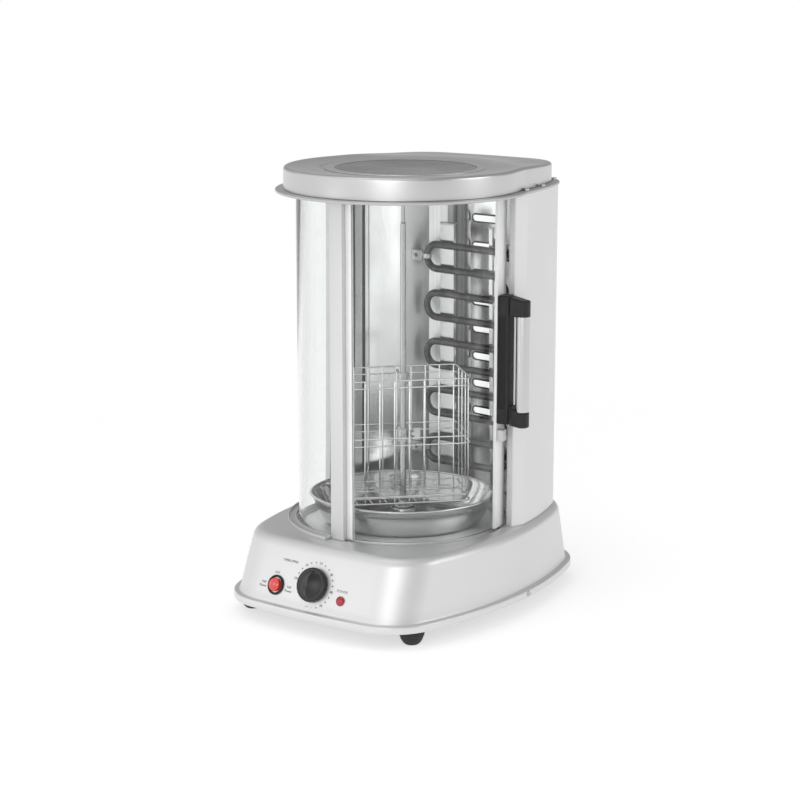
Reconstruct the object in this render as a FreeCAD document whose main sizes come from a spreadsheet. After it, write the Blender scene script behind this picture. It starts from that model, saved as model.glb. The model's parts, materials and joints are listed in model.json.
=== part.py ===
"""Electric skewer grill: an upright rotisserie with a curved sliding glass door.

Every length is in millimetres and every angle in degrees.  The shapes are drawn about the
axis of the turntable, with the ground at z = 0, and the axis is then set back from the
middle of the base so that the origin lies under the middle of the whole grill.  Angles
round the axis start at the front (-Y) and grow towards the right-hand side (+X).
"""
import FreeCAD
import Part
import Sketcher
import math
import os
from FreeCAD import Placement, Rotation, Vector

DIMENSIONS = [
    # name, value, meaning
    ("foot_height", 18.4, "ground to the underside of the base plate"),
    ("foot_top_radius", 13.0, "rubber foot, at the base plate"),
    ("foot_sole_radius", 6.5, "rubber foot, on the ground"),
    ("foot_inset", 46.0, "front feet, in from the skirt"),
    ("foot_front", 138.0, "front feet, ahead of the axis"),
    ("foot_rear_inset", 66.0, "rear feet, in from the skirt"),
    ("foot_rear", 148.0, "rear feet, behind the axis"),
    ("skirt_level", 17.5, "lower edge of the skirt"),
    ("skirt_height", 8.0, "height of the skirt"),
    ("skirt_step", 6.5, "how far the skirt stands out from the wall"),
    ("deck_level", 91.0, "top of the deck"),
    ("shell_wall", 1.2, "pressed steel of the base"),
    ("base_half_width", 154.0, "skirt, at its widest"),
    ("base_front", 184.0, "skirt, ahead of the axis"),
    ("base_rear", 198.0, "skirt, behind the axis"),
    ("base_corner", 62.0, "front corners of the skirt"),
    ("base_rear_corner", 70.0, "rear corners of the skirt"),
    ("deck_inset", 16.0, "sides of the deck, in from the skirt"),
    ("deck_front", 151.0, "deck, ahead of the axis"),
    ("deck_rear", 187.0, "deck, behind the axis"),
    ("deck_corner", 58.0, "front corners of the deck"),
    ("deck_rear_corner", 62.0, "rear corners of the deck"),
    ("deck_edge_round", 9.0, "rounding between deck and wall"),
    ("side_bow", 450.0, "radius of the bowed sides"),
    ("front_bow", 900.0, "radius of the bowed front"),
    ("rear_bow", 600.0, "radius of the bowed back"),
    ("widest_at", 10.0, "where the sides are widest, behind the axis"),
    ("groove_inset", 45.0, "inner wall of the glass groove, in from the skirt"),
    ("groove_width", 9.5, "width of the glass groove"),
    ("groove_floor", 87.0, "bottom of the groove in the deck"),
    ("glass_wall", 3.0, "thickness of both glasses"),
    ("fixed_glass_inset", 36.5, "outside of the fixed glass, in from the skirt"),
    ("fixed_glass_from", -104.0, "rear edge of the fixed glass, round the axis"),
    ("door_glass_inset", 40.8, "outside of the door glass, in from the skirt"),
    ("door_from", -0.8, "leading edge of the closed door"),
    ("door_to", 108.2, "trailing edge of the closed door"),
    ("handle_angle", 99.0, "where the door handle stands"),
    ("handle_inset", 10.0, "grip tube, in from the skirt"),
    ("handle_level", 204.5, "lower end of the handle"),
    ("handle_height", 149.0, "height of the handle"),
    ("grip_radius", 7.5, "outside of the grip tube"),
    ("roof_level", 460.5, "underside of the roof plate"),
    ("roof_wall", 3.0, "thickness of the roof plate"),
    ("roof_inset", 14.0, "rim of the roof plate, in from the skirt"),
    ("housing_inset", 22.0, "sides of the housing, in from the skirt"),
    ("housing_rear", 184.0, "rear housing, behind the axis"),
    ("housing_corner", 60.0, "rear corners of the housing"),
    ("housing_wall", 1.0, "sheet of the rear housing"),
    ("housing_from", 48.0, "front edge of the housing, behind the axis"),
    ("lid_round_inset", 23.0, "round part of the lid, in from the skirt"),
    ("lid_rim", 488.0, "highest line of the lid"),
    ("lid_wall", 1.2, "sheet of the lid"),
    ("lid_inset", 7.5, "rear part of the lid, in from the housing"),
    ("disc_inset", 64.0, "dark disc in the lid, in from the skirt"),
    ("slot_length", 46.0, "rear air slots"),
    ("slot_height", 8.0, "rear air slots"),
    ("slot_pitch", 30.8, "rear air slots, one above the other"),
    ("lowest_slot", 182.0, "middle of the lowest slot"),
    ("heater_depth", 127.0, "plane of the heating element, behind the axis"),
    ("heater_top", 374.5, "highest run of the element"),
    ("heater_pitch", 27.05, "spacing of the runs"),
    ("heater_reach", 54.0, "middle line of the bends, out from the middle"),
    ("element_radius", 4.0, "tube of the element"),
    ("pan_inset", 51.0, "middle of the rolled rim of the pan, in from the skirt"),
    ("pan_rim", 120.3, "middle of the rolled rim of the pan"),
    ("pan_collar", 13.2, "bore of the collar of the pan"),
    ("shaft_radius", 4.0, "drive shaft and the foot of the spit"),
    ("hub_radius", 11.0, "drive hub"),
    ("spit_radius", 3.25, "long part of the spit"),
    ("spit_pin", 2.25, "upper end of the spit"),
    ("basket_turn", 46.0, "how far the basket is turned from across"),
    ("basket_half_length", 68.0, "basket"),
    ("basket_half_depth", 38.0, "basket"),
    ("basket_bottom", 119.5, "lowest level wire of the basket"),
    ("basket_top", 256.0, "highest level wire of the basket"),
    ("basket_pitch", 16.5, "spacing of the upright wires"),
    ("wire_radius", 0.8, "basket wire"),
    ("knob_radius", 19.0, "timer knob"),
    ("knob_level", 52.0, "middle of the timer knob"),
    ("switch_x", -50.0, "middle of the rocker switch"),
    ("switch_level", 44.0, "middle of the rocker switch"),
    ("lamp_x", 38.0, "middle of the lamp"),
    ("lamp_level", 42.0, "middle of the lamp"),
    ("gland_level", 45.0, "cord inlet"),
    ("running_gap", 0.3, "gap between neighbouring pieces"),
    ("shaft_play", 0.05, "radial play of a shaft in its hole"),
]


class Size:
    """A number together with the sheet formula that gives it."""

    def __init__(self, value, formula):
        self.value = float(value)
        self.formula = formula

    def __add__(self, other):
        other = as_size(other)
        return Size(self.value + other.value, f"({self.formula} + {other.formula})")

    def __sub__(self, other):
        other = as_size(other)
        return Size(self.value - other.value, f"({self.formula} - {other.formula})")

    def __mul__(self, other):
        other = as_size(other)
        return Size(self.value * other.value, f"({self.formula} * {other.formula})")

    def __truediv__(self, other):
        other = as_size(other)
        return Size(self.value / other.value, f"({self.formula} / {other.formula})")

    def __radd__(self, other):
        return as_size(other) + self

    def __rsub__(self, other):
        return as_size(other) - self

    def __rmul__(self, other):
        return as_size(other) * self

    def __rtruediv__(self, other):
        return as_size(other) / self

    def __neg__(self):
        return as_size(0) - self


def as_size(number):
    """A plain number as a Size, so that formulas may mix the two."""
    return number if isinstance(number, Size) else Size(number, repr(float(number)))


def root(size):
    """Square root."""
    return Size(math.sqrt(size.value), f"sqrt({size.formula})")


def sine(angle):
    angle = as_size(angle)
    return Size(math.sin(math.radians(angle.value)), f"sin({angle.formula})")


def cosine(angle):
    angle = as_size(angle)
    return Size(math.cos(math.radians(angle.value)), f"cos({angle.formula})")


def bearing_of(x, y):
    """Angle of the direction (x, y) from +X."""
    x, y = as_size(x), as_size(y)
    return Size(math.degrees(math.atan2(y.value, x.value)), f"atan2({y.formula}; {x.formula}) / 1 deg")


def angle_of_sine(ratio):
    return Size(math.degrees(math.asin(ratio.value)), f"asin({ratio.formula}) / 1 deg")


class Dimensions:
    """The driving dimensions: one row of the sheet each, read back by name."""

    def __init__(self, document, rows):
        self.sheet = document.addObject("Spreadsheet::Sheet", "Sizes")
        for row, (name, value, meaning) in enumerate(rows, start=1):
            self.sheet.set(f"A{row}", name)
            self.sheet.set(f"B{row}", str(value))
            self.sheet.set(f"C{row}", meaning)
            self.sheet.setAlias(f"B{row}", name)
        document.recompute()

    def __getattr__(self, name):
        return Size(self.sheet.get(name), f"Sizes.{name}")


doc = FreeCAD.newDocument("SkewerGrill")
dim = Dimensions(doc, DIMENSIONS)
NODES = {}

# The round parts and the housing all follow the width of the base.
FOOT_X = dim.base_half_width - dim.foot_inset
FOOT_REAR_X = dim.base_half_width - dim.foot_rear_inset
DECK_HALF_WIDTH = dim.base_half_width - dim.deck_inset
GROOVE_INNER = dim.base_half_width - dim.groove_inset
GROOVE_OUTER = GROOVE_INNER + dim.groove_width
FIXED_GLASS_RADIUS = dim.base_half_width - dim.fixed_glass_inset
DOOR_GLASS_RADIUS = dim.base_half_width - dim.door_glass_inset
HANDLE_REACH = dim.base_half_width - dim.handle_inset
ROOF_RADIUS = dim.base_half_width - dim.roof_inset
HOUSING_HALF_WIDTH = dim.base_half_width - dim.housing_inset
LID_RADIUS = dim.base_half_width - dim.lid_round_inset
DISC_RADIUS = dim.base_half_width - dim.disc_inset
PAN_RADIUS = dim.base_half_width - dim.pan_inset


# --- Placing and binding -------------------------------------------------------------

def bind(thing, **sizes):
    """Set properties of an object to formulas over the sheet."""
    for name, size in sizes.items():
        thing.setExpression(name, as_size(size).formula)


def place(thing, at=(0, 0, 0), turn=0, tilt=0, lean=0):
    """Bind a placement: tilt about X, then lean about Y, then turn about Z, then move."""
    x, y, z = (as_size(value) for value in at)
    turn, lean, tilt = as_size(turn), as_size(lean), as_size(tilt)
    thing.Placement = Placement(Vector(x.value, y.value, z.value),
                                Rotation(turn.value, lean.value, tilt.value))
    thing.setExpression("Placement", f"placement(vector({x.formula}; {y.formula}; {z.formula}); "
                                     f"rotation({turn.formula}; {lean.formula}; {tilt.formula}))")
    return thing


def finish(name, thing, at=(0, 0, 0), turn=0, tilt=0, lean=0):
    """Name a sub-part and set it about the turntable's axis."""
    axis = (dim.base_front - dim.base_rear) / 2
    x, y, z = at
    place(thing, (x, axis + y, z), turn, tilt, lean)
    thing.Label = name
    NODES[name] = thing
    return thing


# --- Primitives and booleans ---------------------------------------------------------

def block(length, width, height, at=(0, 0, 0), turn=0, tilt=0, lean=0):
    """A box from one corner."""
    box = doc.addObject("Part::Box", "Block")
    bind(box, Length=length, Width=width, Height=height)
    return place(box, at, turn, tilt, lean)


def slab(length, width, height, at=(0, 0, 0), turn=0):
    """A box centred in plan on its place."""
    x, y, z = at
    length, width = as_size(length), as_size(width)
    turned_x = (length * cosine(turn) - width * sine(turn)) / 2
    turned_y = (length * sine(turn) + width * cosine(turn)) / 2
    return block(length, width, height, (x - turned_x, y - turned_y, z), turn)


def rod(radius, height, at=(0, 0, 0), turn=0, tilt=0, lean=0, sweep=360):
    """A round bar, or a sector of one."""
    bar = doc.addObject("Part::Cylinder", "Rod")
    bind(bar, Radius=radius, Height=height, Angle=sweep)
    return place(bar, at, turn, tilt, lean)


def cut(base, *tools):
    """The base without the tools."""
    tool = tools[0] if len(tools) == 1 else fuse(*tools)
    result = doc.addObject("Part::Cut", "Cut")
    result.Base = base
    result.Tool = tool
    return result


def fuse(*shapes):
    """Several shapes joined."""
    result = doc.addObject("Part::MultiFuse", "Fusion")
    result.Shapes = list(shapes)
    result.Refine = True
    return result


def common(*shapes):
    """What several shapes share."""
    result = doc.addObject("Part::MultiCommon", "Common")
    result.Shapes = list(shapes)
    return result


def group(*shapes):
    """Like pieces kept as separate solids in one sub-part."""
    result = doc.addObject("Part::Compound", "Group")
    result.Links = list(shapes)
    return result


def mirrored(shape):
    """The same shape on the other side of the middle plane."""
    result = doc.addObject("Part::Mirroring", "Mirror")
    result.Source = shape
    result.Normal = Vector(1, 0, 0)
    return result


def ring(outer, inner, height, level, turn=0, sweep=360):
    """A tube about the axis, or a sector of one."""
    wider = rod(outer, height, (0, 0, level), turn, sweep=sweep)
    hole = rod(inner, as_size(height) + 2, (0, 0, as_size(level) - 1))
    return cut(wider, hole)


def sector(outer, inner, height, level, start, stop):
    """A tube's sector between two angles counted from the front."""
    return ring(outer, inner, height, level, as_size(start) - 90, as_size(stop) - as_size(start))


# --- Sketches ------------------------------------------------------------------------

def hold_point(sketch, geometry, end, x, y):
    """Fix one point of a sketch at (x, y) by two bound distances."""
    for kind, size in (("DistanceX", as_size(x)), ("DistanceY", as_size(y))):
        number = sketch.addConstraint(Sketcher.Constraint(kind, -1, 1, geometry, end, size.value))
        sketch.setExpression(f"Constraints[{number}]", size.formula)


def draw_polygon(sketch, points):
    """A closed outline of straight lines through bound points."""
    points = [(as_size(x), as_size(y)) for x, y in points]
    corners = [Vector(x.value, y.value, 0) for x, y in points]
    count = len(corners)
    for number in range(count):
        sketch.addGeometry(Part.LineSegment(corners[number], corners[(number + 1) % count]), False)
    for number in range(count):
        sketch.addConstraint(Sketcher.Constraint("Coincident", number, 2, (number + 1) % count, 1))
        hold_point(sketch, number, 1, *points[number])


def meeting_point(centre_a, radius_a, centre_b, radius_b, side):
    """Where two circles meet, on the side (+1 or -1 in x) that is asked for."""
    gap_x, gap_y = centre_b[0] - centre_a[0], centre_b[1] - centre_a[1]
    gap = math.hypot(gap_x, gap_y)
    along = (radius_a ** 2 - radius_b ** 2 + gap ** 2) / (2 * gap)
    across = math.sqrt(radius_a ** 2 - along ** 2)
    foot_x, foot_y = centre_a[0] + along * gap_x / gap, centre_a[1] + along * gap_y / gap
    options = [(foot_x + across * gap_y / gap, foot_y - across * gap_x / gap),
               (foot_x - across * gap_y / gap, foot_y + across * gap_x / gap)]
    return max(options, key=lambda point: side * point[0])


def draw_oval(sketch, half_width, front, rear, front_corner, rear_corner):
    """Four bowed sides and four round corners, all tangent, counter-clockwise from the front.

    The bows of every outline share their middles with the skirt's, so an outline that is
    drawn in by a distance has every radius shorter by that distance.
    """
    side_bow = dim.side_bow - (dim.base_half_width - half_width)
    front_bow = dim.front_bow - (dim.base_front - front)
    rear_bow = dim.rear_bow - (dim.base_rear - rear)
    middles = [(as_size(0), front_bow - front), (half_width - side_bow, dim.widest_at),
               (as_size(0), rear - rear_bow), (side_bow - half_width, dim.widest_at)]
    bows = [front_bow, side_bow, rear_bow, side_bow]
    corners = [front_corner, rear_corner, rear_corner, front_corner]
    sides = [1, 1, -1, -1]
    centres = [(x.value, y.value) for x, y in middles]
    rounds = []
    for number, corner in enumerate(corners):
        after = (number + 1) % 4
        rounds.append(meeting_point(centres[number], bows[number].value - corner.value,
                                    centres[after], bows[after].value - corner.value, sides[number]))

    def heading(start, stop):
        return math.atan2(stop[1] - start[1], stop[0] - start[0])

    def arc(centre, radius, start, stop):
        circle = Part.Circle(Vector(centre[0], centre[1], 0), Vector(0, 0, 1), radius)
        return Part.ArcOfCircle(circle, start, stop if stop > start else stop + 2 * math.pi)

    for number in range(4):
        before = rounds[number - 1]
        after = rounds[number]
        following = centres[(number + 1) % 4]
        sketch.addGeometry(arc(centres[number], bows[number].value, heading(centres[number], before),
                               heading(centres[number], after)), False)
        sketch.addGeometry(arc(after, corners[number].value, heading(centres[number], after),
                               heading(following, after)), False)
    for number in range(8):
        sketch.addConstraint(Sketcher.Constraint("Tangent", number, 2, (number + 1) % 8, 1))
    for number in range(4):
        hold_point(sketch, 2 * number, 3, *middles[number])
        for geometry, radius in ((2 * number, bows[number]), (2 * number + 1, corners[number])):
            index = sketch.addConstraint(Sketcher.Constraint("Radius", geometry, radius.value))
            sketch.setExpression(f"Constraints[{index}]", radius.formula)


def oval(level, half_width, front, rear, front_corner, rear_corner):
    """A level sketch of a bowed outline."""
    sketch = doc.addObject("Sketcher::SketchObject", "Oval")
    draw_oval(sketch, half_width, front, rear, front_corner, rear_corner)
    return place(sketch, (0, 0, level))


def extrusion(sketch, height):
    """A sketch carried straight up."""
    result = doc.addObject("Part::Extrusion", "Extrusion")
    result.Base = sketch
    result.DirMode = "Custom"
    result.Dir = Vector(0, 0, 1)
    result.Solid = True
    bind(result, LengthFwd=height)
    return result


def turned(points, sweep=360, turn=0):
    """A solid of revolution about the axis from an outline of (radius, level) points."""
    sketch = doc.addObject("Sketcher::SketchObject", "Outline")
    draw_polygon(sketch, points)
    place(sketch, (0, 0, 0), turn, 90)
    result = doc.addObject("Part::Revolution", "Turned")
    result.Source = sketch
    result.Axis = Vector(0, 0, 1)
    result.Solid = True
    bind(result, Angle=sweep)
    return result


def wire(start, stop, radius):
    """A round bar between two points."""
    along_x, along_y, along_z = (as_size(b) - a for a, b in zip(start, stop))
    level_run = root(along_x * along_x + along_y * along_y)
    length = root(along_x * along_x + along_y * along_y + along_z * along_z)
    upright = level_run.value < 1e-6
    turn = 0 if upright else bearing_of(along_x, along_y)
    lean = 0 if upright else bearing_of(along_z, level_run)
    return rod(radius, length, start, turn=turn, lean=lean)


def panel(start, stop, thickness, level, height):
    """An upright sheet along a line in plan, a little longer so that bent sheets join."""
    along_x, along_y = as_size(stop[0]) - start[0], as_size(stop[1]) - start[1]
    run = root(along_x * along_x + along_y * along_y)
    x = start[0] - along_x / run * thickness / 2
    y = start[1] - along_y / run * thickness / 2
    return block(run + thickness, thickness, height, (x, y, level), bearing_of(along_x, along_y))


def around(angle, radius, level=0, across=0):
    """The point at an angle from the front and a radius, stepped sideways."""
    x = radius * sine(angle) + across * cosine(angle)
    y = across * sine(angle) - radius * cosine(angle)
    return (x, y, level)


def radial_block(angle, inner, outer, width, level, height):
    """A block that points away from the axis."""
    corner = around(angle, as_size(inner), level, as_size(width) / -2)
    return block(as_size(outer) - inner, width, height, corner, as_size(angle) - 90)


def radial_rod(angle, start, length, radius, level, across=0):
    """A round bar that points away from the axis."""
    return rod(radius, length, around(angle, as_size(start), level, as_size(across)),
               turn=as_size(angle) - 90, lean=90)


def screw(head_radius, head_height, shank_radius, length, at, turn=0, tilt=0, lean=0):
    """A slotted pan-head screw; its head stands up its own Z axis and its shank goes down."""
    head = rod(head_radius, head_height)
    shank = rod(shank_radius, as_size(length) + 0.1, (0, 0, -as_size(length)))
    slot = slab(as_size(head_radius) * 2.2, as_size(head_radius) * 0.3, as_size(head_height),
                (0, 0, as_size(head_height) * 0.45))
    return place(cut(fuse(head, shank), slot), at, turn, tilt, lean)


def half_bend(radius, pipe, at, side):
    """Half of a torus standing in the X-Z plane and bulging towards +X or -X."""
    bend = doc.addObject("Part::Torus", "Bend")
    bind(bend, Radius1=radius, Radius2=pipe, Angle3=180)
    return place(bend, at, tilt=90, lean=90 * side)


def rounded_slab(name, level, height, outline, rounding):
    """A bowed outline carried straight up, its top edge rounded."""
    body = doc.addObject("PartDesign::Body", name)
    plane = [feature for feature in body.Origin.OriginFeatures if feature.Role == "XY_Plane"][0]
    sketch = body.newObject("Sketcher::SketchObject", "Section")
    sketch.AttachmentSupport = [(plane, "")]
    sketch.MapMode = "FlatFace"
    sketch.setExpression("AttachmentOffset.Base.z", as_size(level).formula)
    draw_oval(sketch, *outline)
    doc.recompute()
    wall = body.newObject("PartDesign::Pad", "Wall")
    wall.Profile = sketch
    bind(wall, Length=height)
    doc.recompute()
    top = wall.Shape.BoundBox.ZMax
    edges = [f"Edge{number}" for number, edge in enumerate(wall.Shape.Edges, start=1)
             if min(vertex.Z for vertex in edge.Vertexes) > top - 0.01]
    fillet = body.newObject("PartDesign::Fillet", "Rounding")
    fillet.Base = (wall, edges)
    bind(fillet, Radius=rounding)
    doc.recompute()
    return body


def drawn_in(outline, distance):
    """An outline moved inwards all round."""
    return tuple(size - distance for size in outline)


def sloping_form(low, low_outline, high, high_outline, rounding, inset):
    """A solid between two outlines, rounded into its flat top, its skin moved in by an inset.

    The wall runs straight from outline to outline.  From a rounding's radius below the top
    each level is also drawn in as a quarter circle asks for, in seven equal turns.
    """
    radius = rounding - inset
    top = high - inset
    wall_top = top - radius
    levels = [(low, low_outline, as_size(inset))]
    for step in range(8):
        turn = 90.0 * step / 7
        level = wall_top + radius * sine(turn)
        share = (level - low) / (high - low)
        outline = tuple(a + (b - a) * share for a, b in zip(low_outline, high_outline))
        levels.append((level, outline, inset + radius * (1 - cosine(turn))))
    result = doc.addObject("Part::Loft", "Form")
    result.Sections = [oval(level, *drawn_in(outline, back)) for level, outline, back in levels]
    result.Solid = True
    result.Ruled = True
    return result


def prism(level, height, outline):
    """A bowed outline carried straight up."""
    return extrusion(oval(level, *outline), height)


# --- The base ------------------------------------------------------------------------

WALL_FOOT = dim.skirt_level + dim.skirt_height
SKIRT = (dim.base_half_width, dim.base_front, dim.base_rear, dim.base_corner, dim.base_rear_corner)
FOOT_OF_WALL = tuple(size - dim.skirt_step for size in SKIRT)
DECK = (DECK_HALF_WIDTH, dim.deck_front, dim.deck_rear, dim.deck_corner, dim.deck_rear_corner)
WALL_SLOPE = bearing_of(dim.deck_level - WALL_FOOT, FOOT_OF_WALL[1] - dim.deck_front)
BOW_CENTRE = dim.front_bow - dim.base_front


def on_front_wall(x, level):
    """Place, turn and tilt of a control: its Z axis leaves the sloping front wall squarely."""
    back = (as_size(level) - WALL_FOOT) * sine(WALL_SLOPE) / cosine(WALL_SLOPE)
    radius = BOW_CENTRE + FOOT_OF_WALL[1] - back
    turn = angle_of_sine(as_size(x) / radius)
    return ((as_size(x), BOW_CENTRE - radius * cosine(turn), as_size(level)), turn, 90 - WALL_SLOPE)


TIMER_PLACE = on_front_wall(0, dim.knob_level)
SWITCH_PLACE = on_front_wall(dim.switch_x, dim.switch_level)
LAMP_PLACE = on_front_wall(dim.lamp_x, dim.lamp_level)

wall_out = sloping_form(WALL_FOOT, FOOT_OF_WALL, dim.deck_level, DECK, dim.deck_edge_round, as_size(0))
wall_in = sloping_form(WALL_FOOT, FOOT_OF_WALL, dim.deck_level, DECK, dim.deck_edge_round, dim.shell_wall)
skirt_out = prism(dim.skirt_level, dim.skirt_height, SKIRT)
skirt_in = prism(dim.skirt_level - 1, dim.skirt_height + 1 - dim.shell_wall, drawn_in(SKIRT, dim.shell_wall))
ledge_hole = prism(WALL_FOOT - dim.shell_wall - 1, dim.shell_wall + 1.05,
                   drawn_in(FOOT_OF_WALL, dim.shell_wall))
pressing = cut(fuse(skirt_out, wall_out), fuse(skirt_in, ledge_hole, wall_in))
trough = ring(GROOVE_OUTER + 1.2, GROOVE_INNER - 1.2, dim.deck_level - dim.groove_floor + 1.2,
              dim.groove_floor - 1.2)
groove = ring(GROOVE_OUTER, GROOVE_INNER, 10, dim.groove_floor)
bush_hole = rod(6.5, 6, (0, 0, dim.deck_level - 4))
motor_holes = [rod(1.8, 6, (side * 31, 0, dim.deck_level - 4)) for side in (-1, 1)]


def control_hole(radius, where):
    """A hole square to the front wall."""
    at, turn, tilt = where
    inner_end = rod(radius, 10, (0, 0, -5))
    outer_end = rod(radius, 2, (0, 0, 4))
    return place(fuse(inner_end, outer_end), at, turn, tilt)


control_holes = [control_hole(3.4, TIMER_PLACE), control_hole(9.6, SWITCH_PLACE),
                 control_hole(4.9, LAMP_PLACE)]
SKIRT_SCREW_LEVEL = dim.skirt_level + 4
SKIRT_SCREWS = [(dim.base_half_width + 0.05, 23, 90), (-dim.base_half_width - 0.05, 23, -90),
                (60, dim.base_rear - 2.6, 180), (-60, dim.base_rear - 2.6, 180)]
side_screw_holes = [wire((-200, 23, SKIRT_SCREW_LEVEL), (200, 23, SKIRT_SCREW_LEVEL), 1.8)]
rear_screw_holes = [wire((x, 170, SKIRT_SCREW_LEVEL), (x, 210, SKIRT_SCREW_LEVEL), 1.8) for x in (-60, 60)]
gland_hole = wire((0, 170, dim.gland_level), (0, 205, dim.gland_level), 6.6)
base_shell = cut(fuse(pressing, trough), groove, bush_hole, *motor_holes, *control_holes,
                 *side_screw_holes, *rear_screw_holes, gland_hole)
finish("base_shell", base_shell)

PLATE_LEVEL = dim.foot_height + dim.running_gap
PLATE_EDGE = drawn_in(SKIRT, dim.shell_wall + dim.running_gap)
plate_solid = prism(PLATE_LEVEL, 5.3, PLATE_EDGE)
plate_hollow = prism(PLATE_LEVEL + 1.2, 5.3, drawn_in(PLATE_EDGE, 1))
FEET = [(side * FOOT_X, -dim.foot_front) for side in (-1, 1)]
FEET += [(side * FOOT_REAR_X, dim.foot_rear) for side in (-1, 1)]
foot_holes = [rod(1.8, 6, (x, y, PLATE_LEVEL - 2)) for x, y in FEET]
vents = [slab(36, 4, 6, (column * 50, row * 12, PLATE_LEVEL - 2))
         for column in (-1, 0, 1) for row in (-3, -2, -1, 0, 1, 2, 3)]
plate_side_holes = wire((-200, 23, SKIRT_SCREW_LEVEL), (200, 23, SKIRT_SCREW_LEVEL), 1.6)
plate_rear_holes = [wire((x, 170, SKIRT_SCREW_LEVEL), (x, 210, SKIRT_SCREW_LEVEL), 1.6) for x in (-60, 60)]
finish("bottom_plate", cut(plate_solid, plate_hollow, plate_side_holes, *plate_rear_holes,
                           *foot_holes, *vents))

for name, (x, y) in zip(("foot_front_left", "foot_front_right", "foot_rear_left", "foot_rear_right"), FEET):
    rubber = turned([(4.5, 0), (dim.foot_sole_radius - 0.6, 0), (dim.foot_sole_radius, 0.8),
                     (dim.foot_top_radius, dim.foot_height - 3), (dim.foot_top_radius, dim.foot_height),
                     (1.8, dim.foot_height), (1.8, 8), (4.5, 8)])
    finish(name, rubber, (x, y, 0))

screws = [screw(3.8, 2.2, 1.5, 15.7, (x, y, 7.9), tilt=180) for x, y in FEET]
finish("foot_screws", group(*screws))
nuts = [cut(rod(3.2, 2.4, (x, y, PLATE_LEVEL + 1.5)), rod(1.55, 6, (x, y, PLATE_LEVEL))) for x, y in FEET]
finish("foot_nuts", group(*nuts))
skirt_screws = [screw(3.2, 0.9, 1.4, 5, (x, y, SKIRT_SCREW_LEVEL), turn, 90)
                for x, y, turn in SKIRT_SCREWS]
finish("skirt_screws", group(*skirt_screws))

# --- Drive ---------------------------------------------------------------------------

MOTOR_TOP = dim.deck_level - dim.shell_wall - dim.running_gap
HUB_FOOT = dim.deck_level + 2.3
HUB_TOP = dim.deck_level + 15
gear_case = rod(25, 20, (0, 0, MOTOR_TOP - 20))
motor_can = rod(17, 16, (0, 0, MOTOR_TOP - 35))
ears = slab(74, 12, 1.5, (0, 0, MOTOR_TOP - 1.5))
terminals = [slab(6, 1, 8, (x, 0, MOTOR_TOP - 42)) for x in (-8, 8)]
shaft_hole = rod(dim.shaft_radius + dim.shaft_play, 30, (0, 0, MOTOR_TOP - 10))
ear_holes = [rod(1.8, 6, (side * 31, 0, MOTOR_TOP - 4)) for side in (-1, 1)]
finish("gear_motor", cut(fuse(gear_case, motor_can, ears, *terminals), shaft_hole, *ear_holes))
finish("motor_screws", group(*[screw(3, 2, 1.5, 3.6, (side * 31, 0, MOTOR_TOP - 1.8), tilt=180)
                               for side in (-1, 1)]))
bush = turned([(dim.shaft_radius + dim.shaft_play, MOTOR_TOP + 0.2), (6.4, MOTOR_TOP + 0.2),
               (6.4, dim.deck_level + 0.2), (9, dim.deck_level + 0.2), (9, HUB_FOOT - 0.6),
               (8.4, HUB_FOOT - dim.running_gap),
               (dim.shaft_radius + dim.shaft_play, HUB_FOOT - dim.running_gap)])
finish("shaft_bush", bush)
SPIT_FOOT = HUB_TOP - 6.2
drive_flat = slab(10, 3, 9, (0, -dim.shaft_radius - 0.7, HUB_FOOT))
finish("drive_shaft", cut(rod(dim.shaft_radius, SPIT_FOOT - dim.running_gap - MOTOR_TOP + 9.5,
                              (0, 0, MOTOR_TOP - 9.5)), drive_flat))
hub = turned([(dim.shaft_radius + dim.shaft_play, HUB_FOOT), (dim.hub_radius, HUB_FOOT),
              (dim.hub_radius, HUB_TOP - 1), (dim.hub_radius - 1, HUB_TOP),
              (dim.shaft_radius + dim.shaft_play, HUB_TOP)])
cross_slot = slab(30, 3.4, 5, (0, 0, HUB_TOP - 4), dim.basket_turn)
set_screw_hole = rod(1.6, 14, (0, 0, HUB_FOOT + 3.5), turn=-90, lean=90)
finish("drive_hub", cut(hub, cross_slot, set_screw_hole))
finish("hub_set_screw", rod(1.5, dim.hub_radius - dim.shaft_radius - 0.6),
       (0, -dim.shaft_radius - 0.2, HUB_FOOT + 3.5), turn=-90, lean=90)

# --- Controls ------------------------------------------------------------------------


def control(name, shape, where):
    """Finish a piece that sits square on the front wall."""
    at, turn, tilt = where
    return finish(name, shape, at, turn, tilt)


timer_case = slab(38, 34, 24, (0, 0, -26))
timer_neck = rod(3.35, 24, (0, 0, -24))
timer_bore = rod(3 + dim.shaft_play, 60, (0, 0, -22))
timer_tabs = [slab(4, 1, 7, (x, 8, -32.9)) for x in (-10, 0, 10)]
control("timer_body", cut(fuse(timer_case, *timer_tabs), timer_bore), TIMER_PLACE)
shaft_flat = slab(8, 2, 6, (0, 3.4, 5))
control("timer_shaft", cut(rod(3, 30.5, (0, 0, -20)), shaft_flat), TIMER_PLACE)
knob_disc = rod(dim.knob_radius, 4.4, (0, 0, 0.5))
knob_drum = rod(dim.knob_radius - 2.2, 1.4, (0, 0, 4.8))
grip = common(block(20, 60, 20, (0, -30, 14.3), lean=135), rod(dim.knob_radius - 2.2, 20, (0, 0, 4)))
grip_ends = turned([(0, 4), (dim.knob_radius, 4), (dim.knob_radius - 2.4, 10), (11, 13.9), (0, 13.9)])
fluting = [rod(1.1, 8, around(step * 15, dim.knob_radius + 0.55, 0)) for step in range(24)]
knob_bore = rod(3 + dim.shaft_play, 11, (0, 0, 0))
control("timer_knob", cut(fuse(knob_disc, knob_drum, common(grip, grip_ends)), knob_bore, *fluting),
        TIMER_PLACE)

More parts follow.
